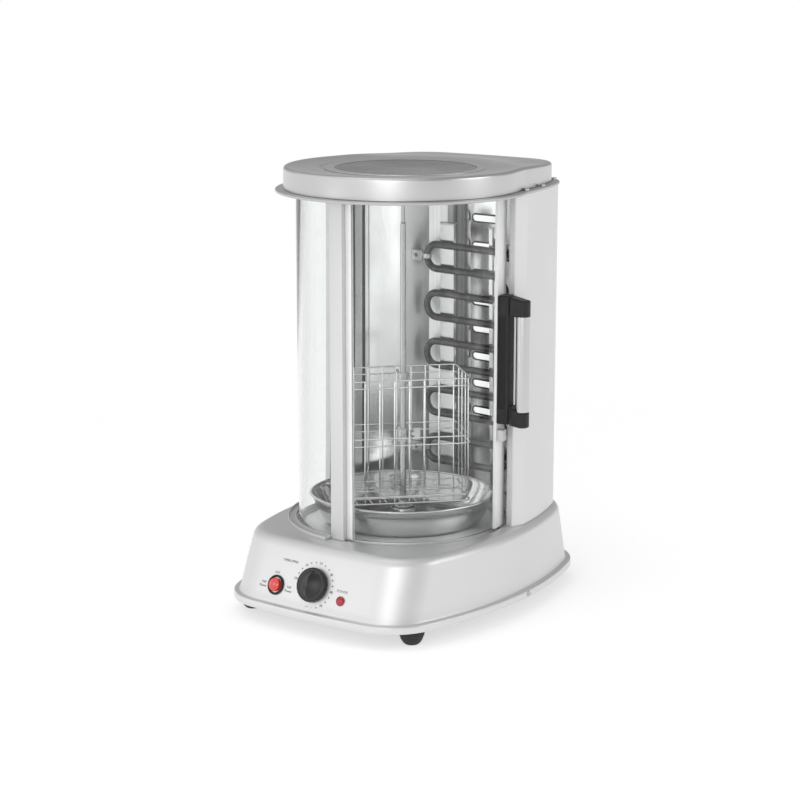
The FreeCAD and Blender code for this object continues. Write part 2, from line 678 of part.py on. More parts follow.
bezel = turned([(8.5, 0.3), (11, 0.3), (11, 1.4), (10.2, 2.4), (8.9, 2.4), (8.5, 2)])
switch_case = rod(9.3, 22.3, (0, 0, -22))
switch_pocket = rod(8.5, 12, (0, 0, -6))
switch_tabs = [slab(1, 5, 7, (x, 0, -28.9)) for x in (-5, 0, 5)]
pivot_holes = [rod(1 + dim.shaft_play, 1.5, (0, y, -1), tilt=-90) for y in (-9.1, 7.6)]
control("switch_body", cut(fuse(bezel, switch_case, *switch_tabs), switch_pocket, *pivot_holes), SWITCH_PLACE)
rocker_form = common(rod(7.5, 12, (0, 0, -4)), fuse(
    block(10, 20, 6, (0, -10, -2.6), lean=-10), block(10, 20, 6, (-9.85, -10, -0.86), lean=10)))
rocker_pins = rod(1, 17.8, (0, -8.9, -1), tilt=-90)
control("switch_rocker", fuse(rocker_form, rocker_pins), SWITCH_PLACE)

lamp_case = rod(4.7, 20, (0, 0, -20))
lamp_tabs = [slab(3, 0.8, 7, (0, y, -26.9)) for y in (-2, 2)]
control("lamp_body", fuse(lamp_case, *lamp_tabs), LAMP_PLACE)
dome = doc.addObject("Part::Sphere", "Dome")
bind(dome, Radius=6.6)
place(dome, (0, 0, -3))
control("lamp_lens", common(dome, rod(5.3, 6, (0, 0, 0.3))), LAMP_PLACE)

block_of_terminals = slab(44, 18, 14, (50, 100, PLATE_LEVEL + 1.5))
terminal_bores = [rod(2.4, 6, (50 + step * 10, 95.5, PLATE_LEVEL + 10)) for step in (-1.5, -0.5, 0.5, 1.5)]
finish("terminal_block", cut(block_of_terminals, *terminal_bores))
gland_sleeve = rod(6, 17, (0, dim.base_rear - 17.6, dim.gland_level), tilt=-90)
gland_flange = rod(9, 2.4, (0, dim.base_rear - 6.9, dim.gland_level), tilt=-90)
gland_bore = rod(3.6, 30, (0, dim.base_rear - 22, dim.gland_level), tilt=-90)
finish("cord_gland", cut(fuse(gland_sleeve, gland_flange), gland_bore))

# --- Rear housing and reflector ------------------------------------------------------

HOUSING_FOOT = dim.deck_level + dim.running_gap
HOUSING_TOP = dim.roof_level - dim.running_gap
HOUSING = (HOUSING_HALF_WIDTH, as_size(20), dim.housing_rear, as_size(20), dim.housing_corner)


def side_at(half_width, y):
    """How far out a bowed side stands at a place along it."""
    bow = dim.side_bow - (dim.base_half_width - half_width)
    step = as_size(y) - dim.widest_at
    return root(bow * bow - step * step) + half_width - bow


FOLD_REAR = (side_at(HOUSING_HALF_WIDTH, dim.housing_from), dim.housing_from)
FOLD_FRONT = (FOLD_REAR[0] - 4.8, FOLD_REAR[1] - 17)
FOLD_RETURN = (FOLD_FRONT[0] - 8.6, FOLD_FRONT[1] + 3)
HOUSING_HEIGHT = HOUSING_TOP - HOUSING_FOOT
ahead_of_housing = block(400, 300, 500, (-200, dim.housing_from - 300, 0))
skin = cut(prism(HOUSING_FOOT, HOUSING_HEIGHT, HOUSING),
           prism(HOUSING_FOOT + 1.2, HOUSING_HEIGHT - 2.4, drawn_in(HOUSING, dim.housing_wall)),
           prism(HOUSING_FOOT - 1, HOUSING_HEIGHT + 2, drawn_in(HOUSING, 16)), ahead_of_housing)
folds = [panel(FOLD_FRONT, FOLD_REAR, dim.housing_wall, HOUSING_FOOT, HOUSING_HEIGHT),
         panel(FOLD_RETURN, FOLD_FRONT, dim.housing_wall, HOUSING_FOOT, HOUSING_HEIGHT)]
right_folds = fuse(*folds)
slots = []
for number in range(9):
    level = dim.lowest_slot + number * dim.slot_pitch
    half = (dim.slot_length - dim.slot_height) / 2
    slots += [slab(half * 2, 30, dim.slot_height, (0, dim.housing_rear, level - dim.slot_height / 2)),
              rod(dim.slot_height / 2, 30, (half, dim.housing_rear - 15, level), tilt=-90),
              rod(dim.slot_height / 2, 30, (-half, dim.housing_rear - 15, level), tilt=-90)]
ROOF_SCREWS = [(side_at(HOUSING_HALF_WIDTH, dim.housing_from + 4) - 3.6, dim.housing_from + 4),
               (side_at(HOUSING_HALF_WIDTH, dim.housing_from + 48) - 3.1, dim.housing_from + 48),
               (HOUSING_HALF_WIDTH - 36.6, dim.housing_rear - 23.4)]
roof_screw_places = [(side * x, y) for x, y in ROOF_SCREWS for side in (-1, 1)]
housing_screw_holes = [rod(1.8, 8, (x, y, HOUSING_TOP - 4)) for x, y in roof_screw_places]
finish("rear_housing", cut(fuse(skin, right_folds, mirrored(right_folds)), *slots, *housing_screw_holes))

REFLECTOR_FOOT = HOUSING_FOOT + 1.7
REFLECTOR_HEIGHT = HOUSING_HEIGHT - 3.4
REFLECTOR_PLAN = [(side_at(HOUSING_HALF_WIDTH, dim.housing_from + 5) - 1.7, dim.housing_from + 5),
                  (HOUSING_HALF_WIDTH - 16, dim.housing_from - 2), (62, 143), (40, 150),
                  (27, dim.housing_rear - 2.5), (-27, dim.housing_rear - 2.5)]
sheets = [panel(start, stop, 0.6, REFLECTOR_FOOT, REFLECTOR_HEIGHT)
          for start, stop in zip(REFLECTOR_PLAN[:4], REFLECTOR_PLAN[1:5])]
right_sheets = fuse(*sheets)
back_sheet = panel(REFLECTOR_PLAN[5], REFLECTOR_PLAN[4], 0.6, REFLECTOR_FOOT, REFLECTOR_HEIGHT)
heater_bottom = dim.heater_top - 9 * dim.heater_pitch
element_holes = [wire((50, dim.heater_depth, level), (100, dim.heater_depth, level), 5)
                 for level in (dim.heater_top, heater_bottom)]
finish("reflector", cut(fuse(right_sheets, mirrored(right_sheets), back_sheet), *slots, *element_holes))

# --- Heating element -----------------------------------------------------------------

BEND = dim.heater_pitch / 2
BEND_X = dim.heater_reach - BEND
runs = []
for number in range(10):
    level = dim.heater_top - number * dim.heater_pitch
    reach = as_size(80) if number in (0, 9) else BEND_X
    runs.append(wire((-BEND_X, dim.heater_depth, level), (reach, dim.heater_depth, level),
                     dim.element_radius))
    if number < 9:
        side = -1 if number % 2 == 0 else 1
        middle = (side * BEND_X, dim.heater_depth, level - BEND)
        runs.append(half_bend(BEND, dim.element_radius, middle, side))
finish("heater_element", fuse(*runs))
collars = []
for level in (dim.heater_top, heater_bottom):
    collar = cut(wire((81, dim.heater_depth, level), (89, dim.heater_depth, level), 5.2),
                 wire((80, dim.heater_depth, level), (90, dim.heater_depth, level), 1.8))
    pin = wire((80.2, dim.heater_depth, level), (96, dim.heater_depth, level), 1.6)
    collars += [collar, pin]
finish("heater_terminals", group(*collars))

BRACKET_FOOT = as_size(110)
BRACKET_HEIGHT = as_size(295)
BRACKET_FACE = dim.heater_depth + dim.element_radius + 0.5
channel = cut(block(20, 15.5, BRACKET_HEIGHT, (18, BRACKET_FACE, BRACKET_FOOT)),
              block(17.6, 20, BRACKET_HEIGHT + 2, (19.2, BRACKET_FACE + 1.2, BRACKET_FOOT - 1)))
tabs = [block(9, 1.2, 16, (37, BRACKET_FACE + 14.3, BRACKET_FOOT + up)) for up in (20, 140, 260)]
bracket = fuse(channel, *tabs)
finish("heater_bracket_right", bracket)
other_channel = cut(block(20, 15.5, BRACKET_HEIGHT, (-38, BRACKET_FACE, BRACKET_FOOT)),
                    block(17.6, 20, BRACKET_HEIGHT + 2, (-36.8, BRACKET_FACE + 1.2, BRACKET_FOOT - 1)))
other_tabs = [block(9, 1.2, 16, (-46, BRACKET_FACE + 14.3, BRACKET_FOOT + up)) for up in (20, 140, 260)]
finish("heater_bracket_left", fuse(other_channel, *other_tabs))

clips = []
front_x, front_y = REFLECTOR_PLAN[1]
back_x, back_y = REFLECTOR_PLAN[2]
share = (back_y - dim.heater_depth + dim.element_radius + 1.7) / (back_y - front_y)
lug_reach = back_x + (front_x - back_x) * share - 1.9 - dim.heater_reach
for level in (dim.heater_top - BEND, heater_bottom + BEND):
    band = ring(dim.element_radius + 1.7, dim.element_radius + 0.5, 5, -2.5)
    lug = block(lug_reach - 3.3, 1.2, 11, (-lug_reach, -dim.element_radius - 1.7, -5.5))
    eyelet = rod(2.5, 10, (6 - lug_reach, -12, 0), tilt=-90)
    clips.append(place(cut(fuse(band, lug), eyelet, rod(dim.element_radius + 0.5, 20, (0, 0, -10))),
                       (-dim.heater_reach, dim.heater_depth, level)))
finish("heater_clips", group(*clips))

# --- Fixed glass, its post and its outer gutter --------------------------------------

GLASS_FOOT = dim.deck_level + 1
fixed_glass = sector(FIXED_GLASS_RADIUS, FIXED_GLASS_RADIUS - dim.glass_wall,
                     dim.roof_level + 2.5 - GLASS_FOOT, GLASS_FOOT, dim.fixed_glass_from, -0.5)
finish("fixed_glass", fixed_glass)
post_cover = sector(FIXED_GLASS_RADIUS + 3.5, FIXED_GLASS_RADIUS + 0.3, HOUSING_HEIGHT,
                    HOUSING_FOOT, -5.2, 2.8)
post_lip = sector(FIXED_GLASS_RADIUS + 0.4, FIXED_GLASS_RADIUS - 2.9, HOUSING_HEIGHT,
                  HOUSING_FOOT, -0.2, 2.8)
finish("glass_post", fuse(post_cover, post_lip))
GUTTER_FROM = dim.fixed_glass_from + 2
gutter = cut(sector(GROOVE_OUTER + 11.5, GROOVE_OUTER + 1.5, 3.4, HOUSING_FOOT, GUTTER_FROM, -6),
             sector(GROOVE_OUTER + 9.9, GROOVE_OUTER + 3.1, 5, HOUSING_FOOT + 1, GUTTER_FROM - 2, -4))
gutter_ends = [sector(GROOVE_OUTER + 10.5, GROOVE_OUTER + 2, 3.4, HOUSING_FOOT, start, start + 0.8)
               for start in (GUTTER_FROM, as_size(-6.8))]
finish("glass_gutter", fuse(gutter, *gutter_ends))

# --- Roof, bearing and lid -----------------------------------------------------------

ROOF_TOP = dim.roof_level + dim.roof_wall
roof_outline = (HOUSING_HALF_WIDTH + 1.5, as_size(20), dim.housing_rear + 1.5, as_size(20),
                dim.housing_corner + 1.5)
roof_disc = rod(ROOF_RADIUS, dim.roof_wall, (0, 0, dim.roof_level))
roof_rear = prism(dim.roof_level, dim.roof_wall, roof_outline)
roof_ring = ring(GROOVE_OUTER + 3.5, GROOVE_INNER - 1, 4, ROOF_TOP)
roof_groove = ring(GROOVE_OUTER - 0.3, GROOVE_INNER, 6, dim.roof_level - 1)
roof_screw_holes = [rod(1.8, 8, (x, y, dim.roof_level - 2)) for x, y in roof_screw_places]
roof_vents = [slab(40, 4, 8, (0, 60 + row * 11, dim.roof_level - 2)) for row in range(3)]
bearing_hole = rod(5.1, 8, (0, 0, dim.roof_level - 2))
finish("roof_plate", cut(fuse(roof_disc, roof_rear, roof_ring), roof_groove, bearing_hole,
                         *roof_vents, *roof_screw_holes))
PIN_BORE = dim.spit_pin + dim.shaft_play
finish("top_bearing", turned([(PIN_BORE, dim.roof_level - 3.5), (4, dim.roof_level - 3.5),
                              (5, dim.roof_level - 2.5), (5, ROOF_TOP + 0.3), (9, ROOF_TOP + 0.3),
                              (9, ROOF_TOP + 2), (8, ROOF_TOP + 3), (5, ROOF_TOP + 5),
                              (PIN_BORE, ROOF_TOP + 5)]))
finish("roof_screws", group(*[screw(3, 2, 1.5, 4.9, (x, y, ROOF_TOP + 0.3)) for x, y in roof_screw_places]))
cutout_case = rod(9, 6, (45, -45, ROOF_TOP + 0.3))
cutout_tabs = [slab(6, 1, 5, (45, -45 + y, ROOF_TOP + 6.2)) for y in (-5, 5)]
finish("thermal_cutout", fuse(cutout_case, *cutout_tabs))

LID_FOOT = ROOF_TOP + 0.3
LID_REAR_TOP = dim.lid_rim - 3.4
DISC_LEVEL = dim.lid_rim - 2.6
lid_outline = drawn_in((HOUSING_HALF_WIDTH, as_size(40), dim.housing_rear, as_size(30),
                        dim.housing_corner), dim.lid_inset)
lid_wall_in = dim.lid_wall
drum_out = turned([(0, LID_FOOT), (LID_RADIUS, LID_FOOT), (LID_RADIUS, dim.lid_rim - 2.6),
                   (LID_RADIUS - 0.3, dim.lid_rim - 1.5), (LID_RADIUS - 1, dim.lid_rim - 0.6),
                   (LID_RADIUS - 2.2, dim.lid_rim), (LID_RADIUS - 4, dim.lid_rim),
                   (LID_RADIUS - 6, dim.lid_rim - 1), (DISC_RADIUS + 7, dim.lid_rim - 2),
                   (0, dim.lid_rim - 2)])
drum_in = turned([(0, LID_FOOT - 1), (LID_RADIUS - lid_wall_in, LID_FOOT - 1),
                  (LID_RADIUS - lid_wall_in, dim.lid_rim - 3.2),
                  (LID_RADIUS - 2.6, dim.lid_rim - 1.3), (LID_RADIUS - 4, dim.lid_rim - 1.3),
                  (LID_RADIUS - 6.3, dim.lid_rim - 2.3), (DISC_RADIUS + 8, dim.lid_rim - 4.4),
                  (0, dim.lid_rim - 4.4)])
rear_out = rounded_slab("LidRearOutside", LID_FOOT, LID_REAR_TOP - LID_FOOT, lid_outline, as_size(3))
rear_in = rounded_slab("LidRearInside", LID_FOOT - 1, LID_REAR_TOP - LID_FOOT + 1 - lid_wall_in,
                       drawn_in(lid_outline, lid_wall_in), 3 - lid_wall_in)
disc_seat = rod(DISC_RADIUS, 6, (0, 5, DISC_LEVEL - 0.6))
finish("lid", cut(fuse(drum_out, rear_out), fuse(drum_in, rear_in), disc_seat))
finish("lid_disc", rod(DISC_RADIUS - dim.running_gap, 1), (0, 5, DISC_LEVEL - 0.5))

# --- Sliding door --------------------------------------------------------------------

DOOR_HEIGHT = HOUSING_TOP - GLASS_FOOT
DOOR_IN = DOOR_GLASS_RADIUS - dim.glass_wall
door_glass = sector(DOOR_GLASS_RADIUS, DOOR_IN, DOOR_HEIGHT, GLASS_FOOT,
                    dim.door_from + 1.8, dim.door_to - 6)
HANDLE_SCREW_LEVELS = [dim.handle_level + 11, dim.handle_level + dim.handle_height - 11]
handle_holes = [radial_rod(dim.handle_angle, DOOR_IN - 10.2, 26, 1.8, level)
                for level in HANDLE_SCREW_LEVELS]
finish("door_glass", cut(door_glass, *handle_holes))
front_strip = sector(DOOR_GLASS_RADIUS + 0.9, DOOR_IN - 1.6, DOOR_HEIGHT, GLASS_FOOT,
                     dim.door_from, dim.door_from + 7.1)
front_rebate = sector(DOOR_GLASS_RADIUS + 0.2, DOOR_IN - 0.2, DOOR_HEIGHT + 2, GLASS_FOOT - 1,
                      dim.door_from + 1.6, dim.door_from + 8)
finish("door_front_profile", cut(front_strip, front_rebate))
rear_strip = sector(DOOR_GLASS_RADIUS + 3.8, DOOR_GLASS_RADIUS + 0.3, DOOR_HEIGHT, GLASS_FOOT,
                    dim.door_to - 12.7, dim.door_to)
rear_web = sector(DOOR_GLASS_RADIUS + 0.4, DOOR_IN - 1.7, DOOR_HEIGHT, GLASS_FOOT,
                  dim.door_to - 5.8, dim.door_to)
rear_lip = sector(DOOR_IN - 0.3, DOOR_IN - 1.7, DOOR_HEIGHT, GLASS_FOOT, dim.door_to - 7.1, dim.door_to - 5)
finish("door_rear_profile", cut(fuse(rear_strip, rear_web, rear_lip), *handle_holes))
pins = []
for angle in (dim.door_from + 3.5, dim.door_to - 3):
    x, y, level = around(angle, DOOR_GLASS_RADIUS - 1.5)
    pins += [rod(2, GLASS_FOOT - dim.groove_floor - 0.7, (x, y, dim.groove_floor + 0.4)),
             rod(2, 4.6, (x, y, dim.roof_level))]
finish("door_pins", group(*pins))

SPINE_FOOT = DOOR_GLASS_RADIUS + 4.1
SPINE_TOP = SPINE_FOOT + 13.6
spine = radial_block(dim.handle_angle, SPINE_FOOT, SPINE_TOP, 14, dim.handle_level, dim.handle_height)
spine_groove = radial_block(dim.handle_angle, SPINE_TOP - 1.5, SPINE_TOP + 1, 8, dim.handle_level + 24,
                            dim.handle_height - 48)
spine_holes = [radial_rod(dim.handle_angle, SPINE_FOOT - 3, 12, 1.6, level)
               for level in HANDLE_SCREW_LEVELS]
finish("handle_spine", cut(spine, spine_groove, *spine_holes))
GRIP_X, GRIP_Y, GRIP_Z = around(dim.handle_angle, HANDLE_REACH)
for name, level in (("handle_bracket_lower", dim.handle_level),
                    ("handle_bracket_upper", dim.handle_level + dim.handle_height - 21.5)):
    arm = radial_block(dim.handle_angle, SPINE_TOP + 0.2, HANDLE_REACH, 16, level, 21.5)
    nose = rod(8, 21.5, (GRIP_X, GRIP_Y, level))
    finish(name, fuse(arm, nose))
grip_tube = rod(dim.grip_radius, dim.handle_height - 43.4,
                (GRIP_X, GRIP_Y, dim.handle_level + 21.7))
grip_bore = rod(dim.grip_radius - 1, 300, (GRIP_X, GRIP_Y, dim.handle_level))
finish("handle_tube", cut(grip_tube, grip_bore))
finish("handle_screws", group(*[screw(3.2, 1.8, 1.5, 16, around(dim.handle_angle, DOOR_IN - 0.2, level),
                                      turn=dim.handle_angle - 90, lean=-90)
                                for level in HANDLE_SCREW_LEVELS]))
catch = radial_block(dim.handle_angle, SPINE_FOOT, SPINE_FOOT + 6.5, 11, dim.handle_level - 13.5, 13.2)
catch_notch = radial_block(dim.handle_angle, SPINE_FOOT + 4, SPINE_FOOT + 8, 5, dim.handle_level - 10, 6)
finish("door_catch", cut(catch, catch_notch))

# --- Drip pan ------------------------------------------------------------------------

PAN_FLOOR = dim.deck_level + dim.running_gap
collar_out = dim.pan_collar + 1
dish = turned([(dim.pan_collar, PAN_FLOOR), (PAN_RADIUS - 19, PAN_FLOOR),
               (PAN_RADIUS + 0.2, dim.pan_rim + 0.6), (PAN_RADIUS - 0.9, dim.pan_rim + 0.6),
               (PAN_RADIUS - 19.8, PAN_FLOOR + 1), (collar_out, PAN_FLOOR + 1),
               (collar_out, HUB_TOP), (dim.pan_collar, HUB_TOP)])
rim = doc.addObject("Part::Torus", "Rim")
bind(rim, Radius1=PAN_RADIUS, Radius2=1.5)
place(rim, (0, 0, dim.pan_rim))
finish("drip_pan", fuse(dish, rim))

# --- Spit and basket -----------------------------------------------------------------

spit_bar = turned([(0, SPIT_FOOT), (dim.shaft_radius - 0.5, SPIT_FOOT), (dim.shaft_radius, SPIT_FOOT + 0.5),
                   (dim.shaft_radius, HUB_TOP + 0.3), (10.5, HUB_TOP + 0.3), (10.5, HUB_TOP + 3),
                   (6, HUB_TOP + 4.5), (dim.spit_radius, HUB_TOP + 7), (dim.spit_radius, 419),
                   (dim.spit_pin, 422), (dim.spit_pin, 464.5), (dim.spit_pin - 1, 466), (0, 466)])
cross_pin = rod(1.5, 20, (-10, 0, HUB_TOP - 2), lean=90)
finish("spit_rod", fuse(spit_bar, cross_pin), turn=dim.basket_turn)

BASKET_LEVELS = [dim.basket_bottom, dim.basket_bottom + 7.6, dim.basket_bottom + 64.6,
                 dim.basket_bottom + 72.6, dim.basket_top - 7.7, dim.basket_top]
HALF_LENGTH = dim.basket_half_length
HALF_DEPTH = dim.basket_half_depth


def grid(length, uprights, levels):
    """Level wires along local X with upright wires welded against their inner side."""
    lines = [wire((-length, 0, level), (length, 0, level), dim.wire_radius) for level in levels]
    lines += [wire((x, 1.3, levels[0] - 0.4), (x, 1.3, levels[-1] + 0.4), dim.wire_radius) for x in uprights]
    return fuse(*lines)


long_uprights = [step * dim.basket_pitch for step in range(-4, 5)]
short_uprights = [step * dim.basket_pitch for step in range(-2, 3)]


def in_basket(x, y):
    """A place given in the basket's own directions, as seen along the base."""
    x, y = as_size(x), as_size(y)
    return (x * cosine(dim.basket_turn) - y * sine(dim.basket_turn),
            x * sine(dim.basket_turn) + y * cosine(dim.basket_turn), 0)


finish("basket_front_grid", grid(HALF_LENGTH, long_uprights, BASKET_LEVELS),
       in_basket(0, -HALF_DEPTH), dim.basket_turn)
finish("basket_back_grid", grid(HALF_LENGTH, long_uprights, BASKET_LEVELS),
       in_basket(0, HALF_DEPTH), dim.basket_turn + 180)
finish("basket_right_end", grid(HALF_DEPTH, short_uprights, BASKET_LEVELS),
       in_basket(HALF_LENGTH + 1.3, 0), dim.basket_turn + 90)
finish("basket_left_end", grid(HALF_DEPTH, short_uprights, BASKET_LEVELS),
       in_basket(-HALF_LENGTH - 1.3, 0), dim.basket_turn - 90)

floor_wires = [wire(((step + 0.5) * dim.basket_pitch, -HALF_DEPTH + 1.1, dim.basket_bottom),
                    ((step + 0.5) * dim.basket_pitch, HALF_DEPTH - 1.1, dim.basket_bottom), dim.wire_radius)
               for step in range(-4, 4)]
floor_wires += [wire((-HALF_LENGTH + 4, y, dim.basket_bottom + 1.3),
                     (HALF_LENGTH - 4, y, dim.basket_bottom + 1.3), dim.wire_radius) for y in (-18, 18)]
finish("basket_floor", fuse(*floor_wires), turn=dim.basket_turn)

SLEEVE_BORE = dim.spit_radius + dim.shaft_play
for name, level, tall in (("basket_lower_bar", dim.basket_bottom + 68.6, 15),
                          ("basket_upper_bar", dim.basket_top - 3.9, 9)):
    sleeve = rod(6.2, tall, (0, 0, level - tall / 2))
    arms = wire((0, -HALF_DEPTH + 2.5, level), (0, HALF_DEPTH - 2.5, level), 1.5)
    bore = rod(SLEEVE_BORE, 60, (0, 0, level - 30))
    thread = wire((0, 0, level), (20, 0, level), 1.8)
    finish(name, cut(fuse(sleeve, arms), bore, thread), turn=dim.basket_turn)
thumb_level = dim.basket_bottom + 68.6
thumb = fuse(wire((dim.spit_radius + 0.2, 0, thumb_level), (11, 0, thumb_level), 1.7),
             wire((9, 0, thumb_level), (12, 0, thumb_level), 4),
             slab(8, 2.4, 13, (15.5, 0, thumb_level - 6.5)))
finish("basket_thumb_screw", thumb, turn=dim.basket_turn)

# --- Checks and files ----------------------------------------------------------------

doc.recompute()
for thing in doc.Objects:
    bad = [word for word in ("Invalid", "Error") if word in thing.State]
    if bad:
        raise RuntimeError(f"{thing.Name} did not rebuild: {thing.State}")
os.makedirs("parts", exist_ok=True)
for name, thing in NODES.items():
    shape = thing.Shape
    if shape.isNull() or not shape.isValid() or not shape.Solids:
        raise RuntimeError(f"{name} is not a sound solid")
    shape.exportStep(f"parts/{name}.step")
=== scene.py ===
"""Electric skewer grill: the visible surfaces and finishes, built round the fixed frame.

Lengths in the piece functions are millimetres about the turntable's axis, with the ground at
zero; `Surface.piece` turns them into metres in the frame.  Angles round the axis are degrees
from the front (-Y) towards the right-hand side (+X).
"""
import json
import math
import bpy
import numpy as np
from bpy.props import FloatProperty, FloatVectorProperty, IntProperty, PointerProperty
from mathutils import Matrix, Vector


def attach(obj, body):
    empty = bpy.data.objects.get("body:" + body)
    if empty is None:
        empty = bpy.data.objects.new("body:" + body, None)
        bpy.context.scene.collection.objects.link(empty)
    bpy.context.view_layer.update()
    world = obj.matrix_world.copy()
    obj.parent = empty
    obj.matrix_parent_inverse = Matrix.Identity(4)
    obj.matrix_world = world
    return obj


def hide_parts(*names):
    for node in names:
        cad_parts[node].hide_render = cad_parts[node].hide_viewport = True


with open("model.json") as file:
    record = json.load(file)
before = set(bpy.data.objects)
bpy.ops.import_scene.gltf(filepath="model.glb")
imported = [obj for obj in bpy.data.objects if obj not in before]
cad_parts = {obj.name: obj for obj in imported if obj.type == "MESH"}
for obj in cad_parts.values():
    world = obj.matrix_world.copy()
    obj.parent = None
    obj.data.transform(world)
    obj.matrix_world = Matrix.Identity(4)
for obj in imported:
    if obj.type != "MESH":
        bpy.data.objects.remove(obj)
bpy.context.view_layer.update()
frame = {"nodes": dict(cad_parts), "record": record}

bl_info = {
    "name": "Electric skewer grill",
    "version": (1, 0, 0),
    "blender": (4, 5, 0),
    "location": "3D View > Sidebar > Grill",
    "description": "Builds the surfaces and finishes of an electric skewer grill on its frame",
    "category": "Object",
}

MM = 0.001
AXIS_Y = -7.0
TAU = 2 * math.pi


# --- Shader values -------------------------------------------------------------------

class Value:
    """A socket of a node tree; arithmetic on it adds Math nodes."""

    def __init__(self, tree, socket):
        self.tree = tree
        self.socket = socket

    def math(self, operation, other):
        """A Math node on this value and another."""
        return self.tree.node("ShaderNodeMath", {"operation": operation}, {0: self, 1: other})

    def __add__(self, other):
        return self.math("ADD", other)

    def __sub__(self, other):
        return self.math("SUBTRACT", other)

    def __mul__(self, other):
        return self.math("MULTIPLY", other)

    def __pow__(self, other):
        return self.math("POWER", other)

    def __lt__(self, other):
        return self.math("LESS_THAN", other)

    def at_least(self, other):
        return self.math("MAXIMUM", other)

    def step(self, low, high, to_low=0.0, to_high=1.0):
        """Smooth step from one value to another between two thresholds."""
        return self.tree.node("ShaderNodeMapRange", {"interpolation_type": "SMOOTHSTEP"},
                              {"Value": self, "From Min": low, "From Max": high,
                               "To Min": to_low, "To Max": to_high})


class Tree:
    """A node tree under construction."""

    def __init__(self, nodes):
        self.tree = nodes

    def node(self, kind, settings=None, values=None, output=0):
        """Adds a node: its settings first, then the values or links of its sockets."""
        made = self.tree.nodes.new(kind)
        for name, setting in (settings or {}).items():
            setattr(made, name, setting)
        for key, value in (values or {}).items():
            self.feed(made.inputs[key], value)
        return Value(self, made.outputs[output])

    def feed(self, socket, value):
        """Links a Value to a socket, or sets a plain number or colour on it."""
        if isinstance(value, Value):
            self.tree.links.new(value.socket, socket)
        elif hasattr(socket.default_value, "__len__") and hasattr(value, "__len__"):
            socket.default_value = (*value, 1.0)[:len(socket.default_value)]
        else:
            socket.default_value = value

    def ray(self, kind):
        """1 for rays of a kind and 0 for the others."""
        return self.node("ShaderNodeLightPath", output=f"Is {kind} Ray")

    def axes(self, vector):
        """X, Y and Z of a vector as three values."""
        split = self.tree.nodes.new("ShaderNodeSeparateXYZ")
        self.feed(split.inputs[0], vector)
        return [Value(self, output) for output in split.outputs]


class Finish(Tree):
    """A material under construction."""

    made = {}

    def __init__(self, name):
        self.material = bpy.data.materials.new(name)
        self.material.use_nodes = True
        super().__init__(self.material.node_tree)
        self.tree.nodes.clear()
        self.shader = self.tree.nodes.new("ShaderNodeBsdfPrincipled")
        self.output = self.tree.nodes.new("ShaderNodeOutputMaterial")
        self.tree.links.new(self.shader.outputs[0], self.output.inputs["Surface"])
        Finish.made[name] = self.material

    def place(self, scale=None):
        """Object coordinates, stretched for a pattern."""
        spot = self.node("ShaderNodeTexCoord", output="Object")
        return self.node("ShaderNodeMapping", None, {"Vector": spot, "Scale": scale}) if scale else spot

    def noise(self, scale, detail, rough, stretch=None):
        """Fractal noise from 0 to 1."""
        return self.node("ShaderNodeTexNoise", None, {"Vector": self.place(stretch), "Scale": scale,
                                                      "Detail": detail, "Roughness": rough}, output="Fac")

    def cells(self, scale):
        """Distance to the nearest of scattered points."""
        return self.node("ShaderNodeTexVoronoi", None, {"Vector": self.place(), "Scale": scale},
                         output="Distance")

    def mix(self, share, first, second):
        """A colour between two colours."""
        return self.node("ShaderNodeMix", {"data_type": "RGBA"}, {0: share, 6: first, 7: second}, output=2)

    def bump(self, height, strength, distance, below=None):
        """A normal from a height field, on top of another normal; distance is in metres."""
        values = {"Height": height, "Strength": strength, "Distance": distance}
        if below:
            values["Normal"] = below
        return self.node("ShaderNodeBump", None, values)

    def set(self, **sockets):
        """Feeds the shader's sockets; underscores stand for spaces."""
        for name, value in sockets.items():
            self.feed(self.shader.inputs[name.replace("_", " ")], value)
        return self.material


def finish_named(name):
    """The material of a finish, made the first time it is asked for."""
    return Finish.made.get(name) or FINISHES[name](name)


def shaded(colour, factor, lift=0.0):
    """A colour made darker or lighter."""
    return tuple(min(1.0, part * factor + lift) for part in colour)


def enamel(name, colour, metallic, rough, coat, flake, peel=0.25):
    """Sprayed enamel: orange peel, fine metal flake and slightly uneven gloss."""
    f = Finish(name)
    cloud = f.noise(14, 3, 0.6)
    shade = cloud.step(0.3, 0.7) * 0.03 + (f.noise(2600, 1, 0.5) - 0.5) * flake
    return f.set(Base_Color=f.mix(shade + 0.5, shaded(colour, 0.90), shaded(colour, 1.05)),
                 Metallic=metallic, Roughness=cloud.step(0.3, 0.7, rough - 0.03, rough + 0.04),
                 Coat_Weight=coat, Coat_Roughness=0.12,
                 Normal=f.bump(f.noise(420, 2, 0.45), peel, 0.00012))


def sheet_metal(name, colour, rough, grain_along="Z", grain=0.35, waves=0.0, metallic=1.0):
    """Rolled or brushed sheet: long fine scratches, faint smudges and a slow waviness."""
    f = Finish(name)
    lines = f.noise(1.0, 3, 0.6, {"X": (6, 900, 900), "Z": (900, 900, 6)}[grain_along])
    smudge = f.noise(22, 3, 0.55)
    tone = lines * 0.5 + smudge.step(0.35, 0.75) * 0.5
    normal = f.bump(lines, grain, 0.00003)
    if waves:
        normal = f.bump(f.noise(9, 1, 0.4), waves, 0.002, normal)
    return f.set(Base_Color=f.mix(tone, shaded(colour, 0.88), shaded(colour, 1.04)), Metallic=metallic,
                 Roughness=smudge.step(0.35, 0.75, rough, rough + 0.07) + (lines - 0.5) * 0.05,
                 Normal=normal)


